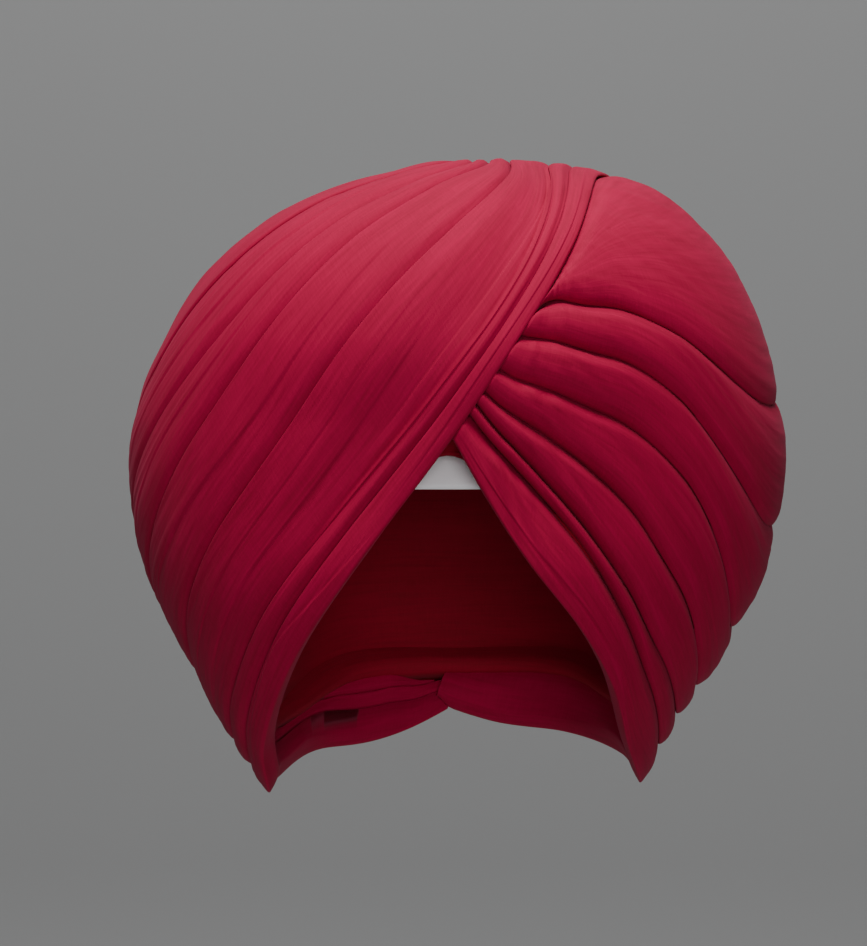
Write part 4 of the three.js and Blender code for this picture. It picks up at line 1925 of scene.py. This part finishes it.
@dataclass
class Studio:
    """Plain grey room, soft lights and the camera.

    Attributes:
        floor: Height of the floor in metres.
        wall: Distance of the wall behind in metres.
        target: Point that the camera looks at.
        distance: Distance of the camera from it in metres.
        elevation: Height of the camera over it in degrees.
        lens: Focal length in millimetres.
        grey: Colour of the room.
        bend: Radius of the sweep from the floor to the wall.
        bend_steps: Points along that sweep.
        half_width: Half the width of the room.
        front: Reach of the floor in front of the object.
        top: Height of the wall's upper edge.
        sensor: Width of the camera's sensor in millimetres.
        lamps: Key from overhead, fill from in front, and an even light on the wall.
        sky: Colour of the light from all round.
        sky_strength: Its strength.
    """

    floor: float = -1.1
    wall: float = 2.8
    target: tuple = (-0.00908, 0.0, -0.04158)
    distance: float = 1.6
    elevation: float = 0.5
    lens: float = 150.8
    grey: tuple = (0.33, 0.33, 0.33, 1)
    bend: float = 0.6
    bend_steps: int = 24
    half_width: float = 4.0
    front: float = 3.5
    top: float = 4.0
    sensor: float = 36.0
    lamps: tuple = (
        Lamp("key", (-0.15, -0.75, 1.5), 0.8, 36, (0, 0, -0.03)),
        Lamp("fill", (0.2, -2.2, 0.1), 0.9, 17, (0, 0, -0.05)),
        Lamp("wall_light", (0, 0.9, 2.8), 1.8, 66, (0, 2.8, -0.1)),
    )
    sky: tuple = (0.8, 0.82, 0.85, 1)
    sky_strength: float = 0.14

    def room(self) -> None:
        """Floor that sweeps up into the wall."""
        middle = (self.wall - self.bend, self.floor + self.bend)
        sweep = [
            (middle[0] + self.bend * math.sin(a), middle[1] - self.bend * math.cos(a))
            for a in np.linspace(0, math.pi / 2, self.bend_steps)
        ]
        line = [(-self.front, self.floor), *sweep, (self.wall, self.top)]
        points = [(x, y, z) for y, z in line for x in (-self.half_width, self.half_width)]
        faces = [(2 * i, 2 * i + 1, 2 * i + 3, 2 * i + 2) for i in range(len(line) - 1)]
        mesh = bpy.data.meshes.new("backdrop")
        mesh.from_pydata(points, [], faces)
        mesh.polygons.foreach_set("use_smooth", [True] * len(faces))
        piece = bpy.data.objects.new("backdrop", mesh)
        bpy.context.scene.collection.objects.link(piece)
        paint = bpy.data.materials.new("backdrop_paint")
        paint.use_nodes = True
        shader = paint.node_tree.nodes["Principled BSDF"]
        shader.inputs["Base Color"].default_value = self.grey
        shader.inputs["Roughness"].default_value = 0.95
        shader.inputs["Specular IOR Level"].default_value = 0.1
        mesh.materials.append(paint)

    def lights(self) -> None:
        """The lamps, and an even light from all round."""
        for lamp in self.lamps:
            lamp.build()
        world = bpy.data.worlds.new("room_light")
        world.use_nodes = True
        background = world.node_tree.nodes["Background"]
        background.inputs["Color"].default_value = self.sky
        background.inputs["Strength"].default_value = self.sky_strength
        bpy.context.scene.world = world

    def camera(self) -> None:
        """Camera level with the brow, straight in front."""
        data = bpy.data.cameras.new("camera")
        data.lens, data.sensor_width = self.lens, self.sensor
        camera = bpy.data.objects.new("camera", data)
        rise = math.radians(self.elevation)
        away = Vector((0, -math.cos(rise), math.sin(rise)))
        camera.location = Vector(self.target) + away * self.distance
        camera.rotation_euler = (-away).to_track_quat("-Z", "Y").to_euler()
        bpy.context.scene.collection.objects.link(camera)
        bpy.context.scene.camera = camera

    def build(self) -> None:
        """Room, lights and camera."""
        self.room()
        self.lights()
        self.camera()


# Creases as kind, rows, shares across the family at those rows, size and reach
SASH_CREASES = (
    Crease(CreaseKind.OVER_NEAR, (3.4, 4.4, 4.9, 5.5, 6.4), (0.035, 0.06, 0.07, 0.045, 0.01), 0.9, 2.5),
    Crease(CreaseKind.OVER_FAR, (6.0, 7.0, 8.5, 10.2), (0.03, 0.045, 0.05, 0.08), 0.7, 1.8),
    Crease(CreaseKind.GROOVE, (4.8, 6.5, 8.0, 9.4, 10.8), (0.19, 0.21, 0.23, 0.32, 0.44), 3.5, 14.0),
    Crease(CreaseKind.OVER_NEAR, (6.2, 7.2, 8.3, 9.6), (0.2, 0.2, 0.22, 0.3), 0.6, 2.5),
    Crease(CreaseKind.OVER_FAR, (3.2, 4.6, 6.2, 7.6), (0.22, 0.23, 0.26, 0.3), 0.7, 4.0),
    Crease(CreaseKind.OVER_FAR, (2.6, 4.2, 6.0, 8.0), (0.3, 0.29, 0.33, 0.4), 0.5, 3.0),
    Crease(CreaseKind.OVER_FAR, (3.0, 4.8, 6.6, 7.8), (0.52, 0.5, 0.53, 0.6), 0.8, 4.0),
    Crease(CreaseKind.OVER_FAR, (2.8, 4.4, 5.8, 7.0), (0.7, 0.7, 0.72, 0.75), 0.6, 3.5),
    Crease(CreaseKind.OVER_FAR, (3.0, 4.6, 6.4, 8.2), (0.87, 0.86, 0.87, 0.9), 0.8, 4.0),
    Crease(CreaseKind.OVER_NEAR, (4.0, 5.2, 6.4, 7.4), (0.93, 0.92, 0.92, 0.94), 0.6, 3.0),
)
SIDE_CREASES = (
    Crease(CreaseKind.OVER_FAR, (-0.5, 1.3, 2.4, 4.3, 5.5), (0.04, 0.07, 0.07, 0.05, 0.03), 0.8, 2.5),
)


def main() -> None:
    """Build the pieces in order, then the room."""
    logging.basicConfig(level=logging.INFO, format="%(name)s: %(message)s")
    form = Form()
    voile, inner, cotton = VOILE.material(), INNER.material(), COTTON.material()
    winding = InnerWinding(form, inner).build()
    band = UnderBand(form, cotton)
    band.build()
    sash = Sash(form, SASH_CREASES)
    crown = CrownCloth(sash, voile)
    crown.build()
    for turns in (SideTurns(Side(form, SIDE_CREASES), voile), SashFolds(sash, voile)):
        for index, flat in enumerate(turns.flats):
            turns.build(index)
    Studio().build()


if __name__ == "__main__":
    main()
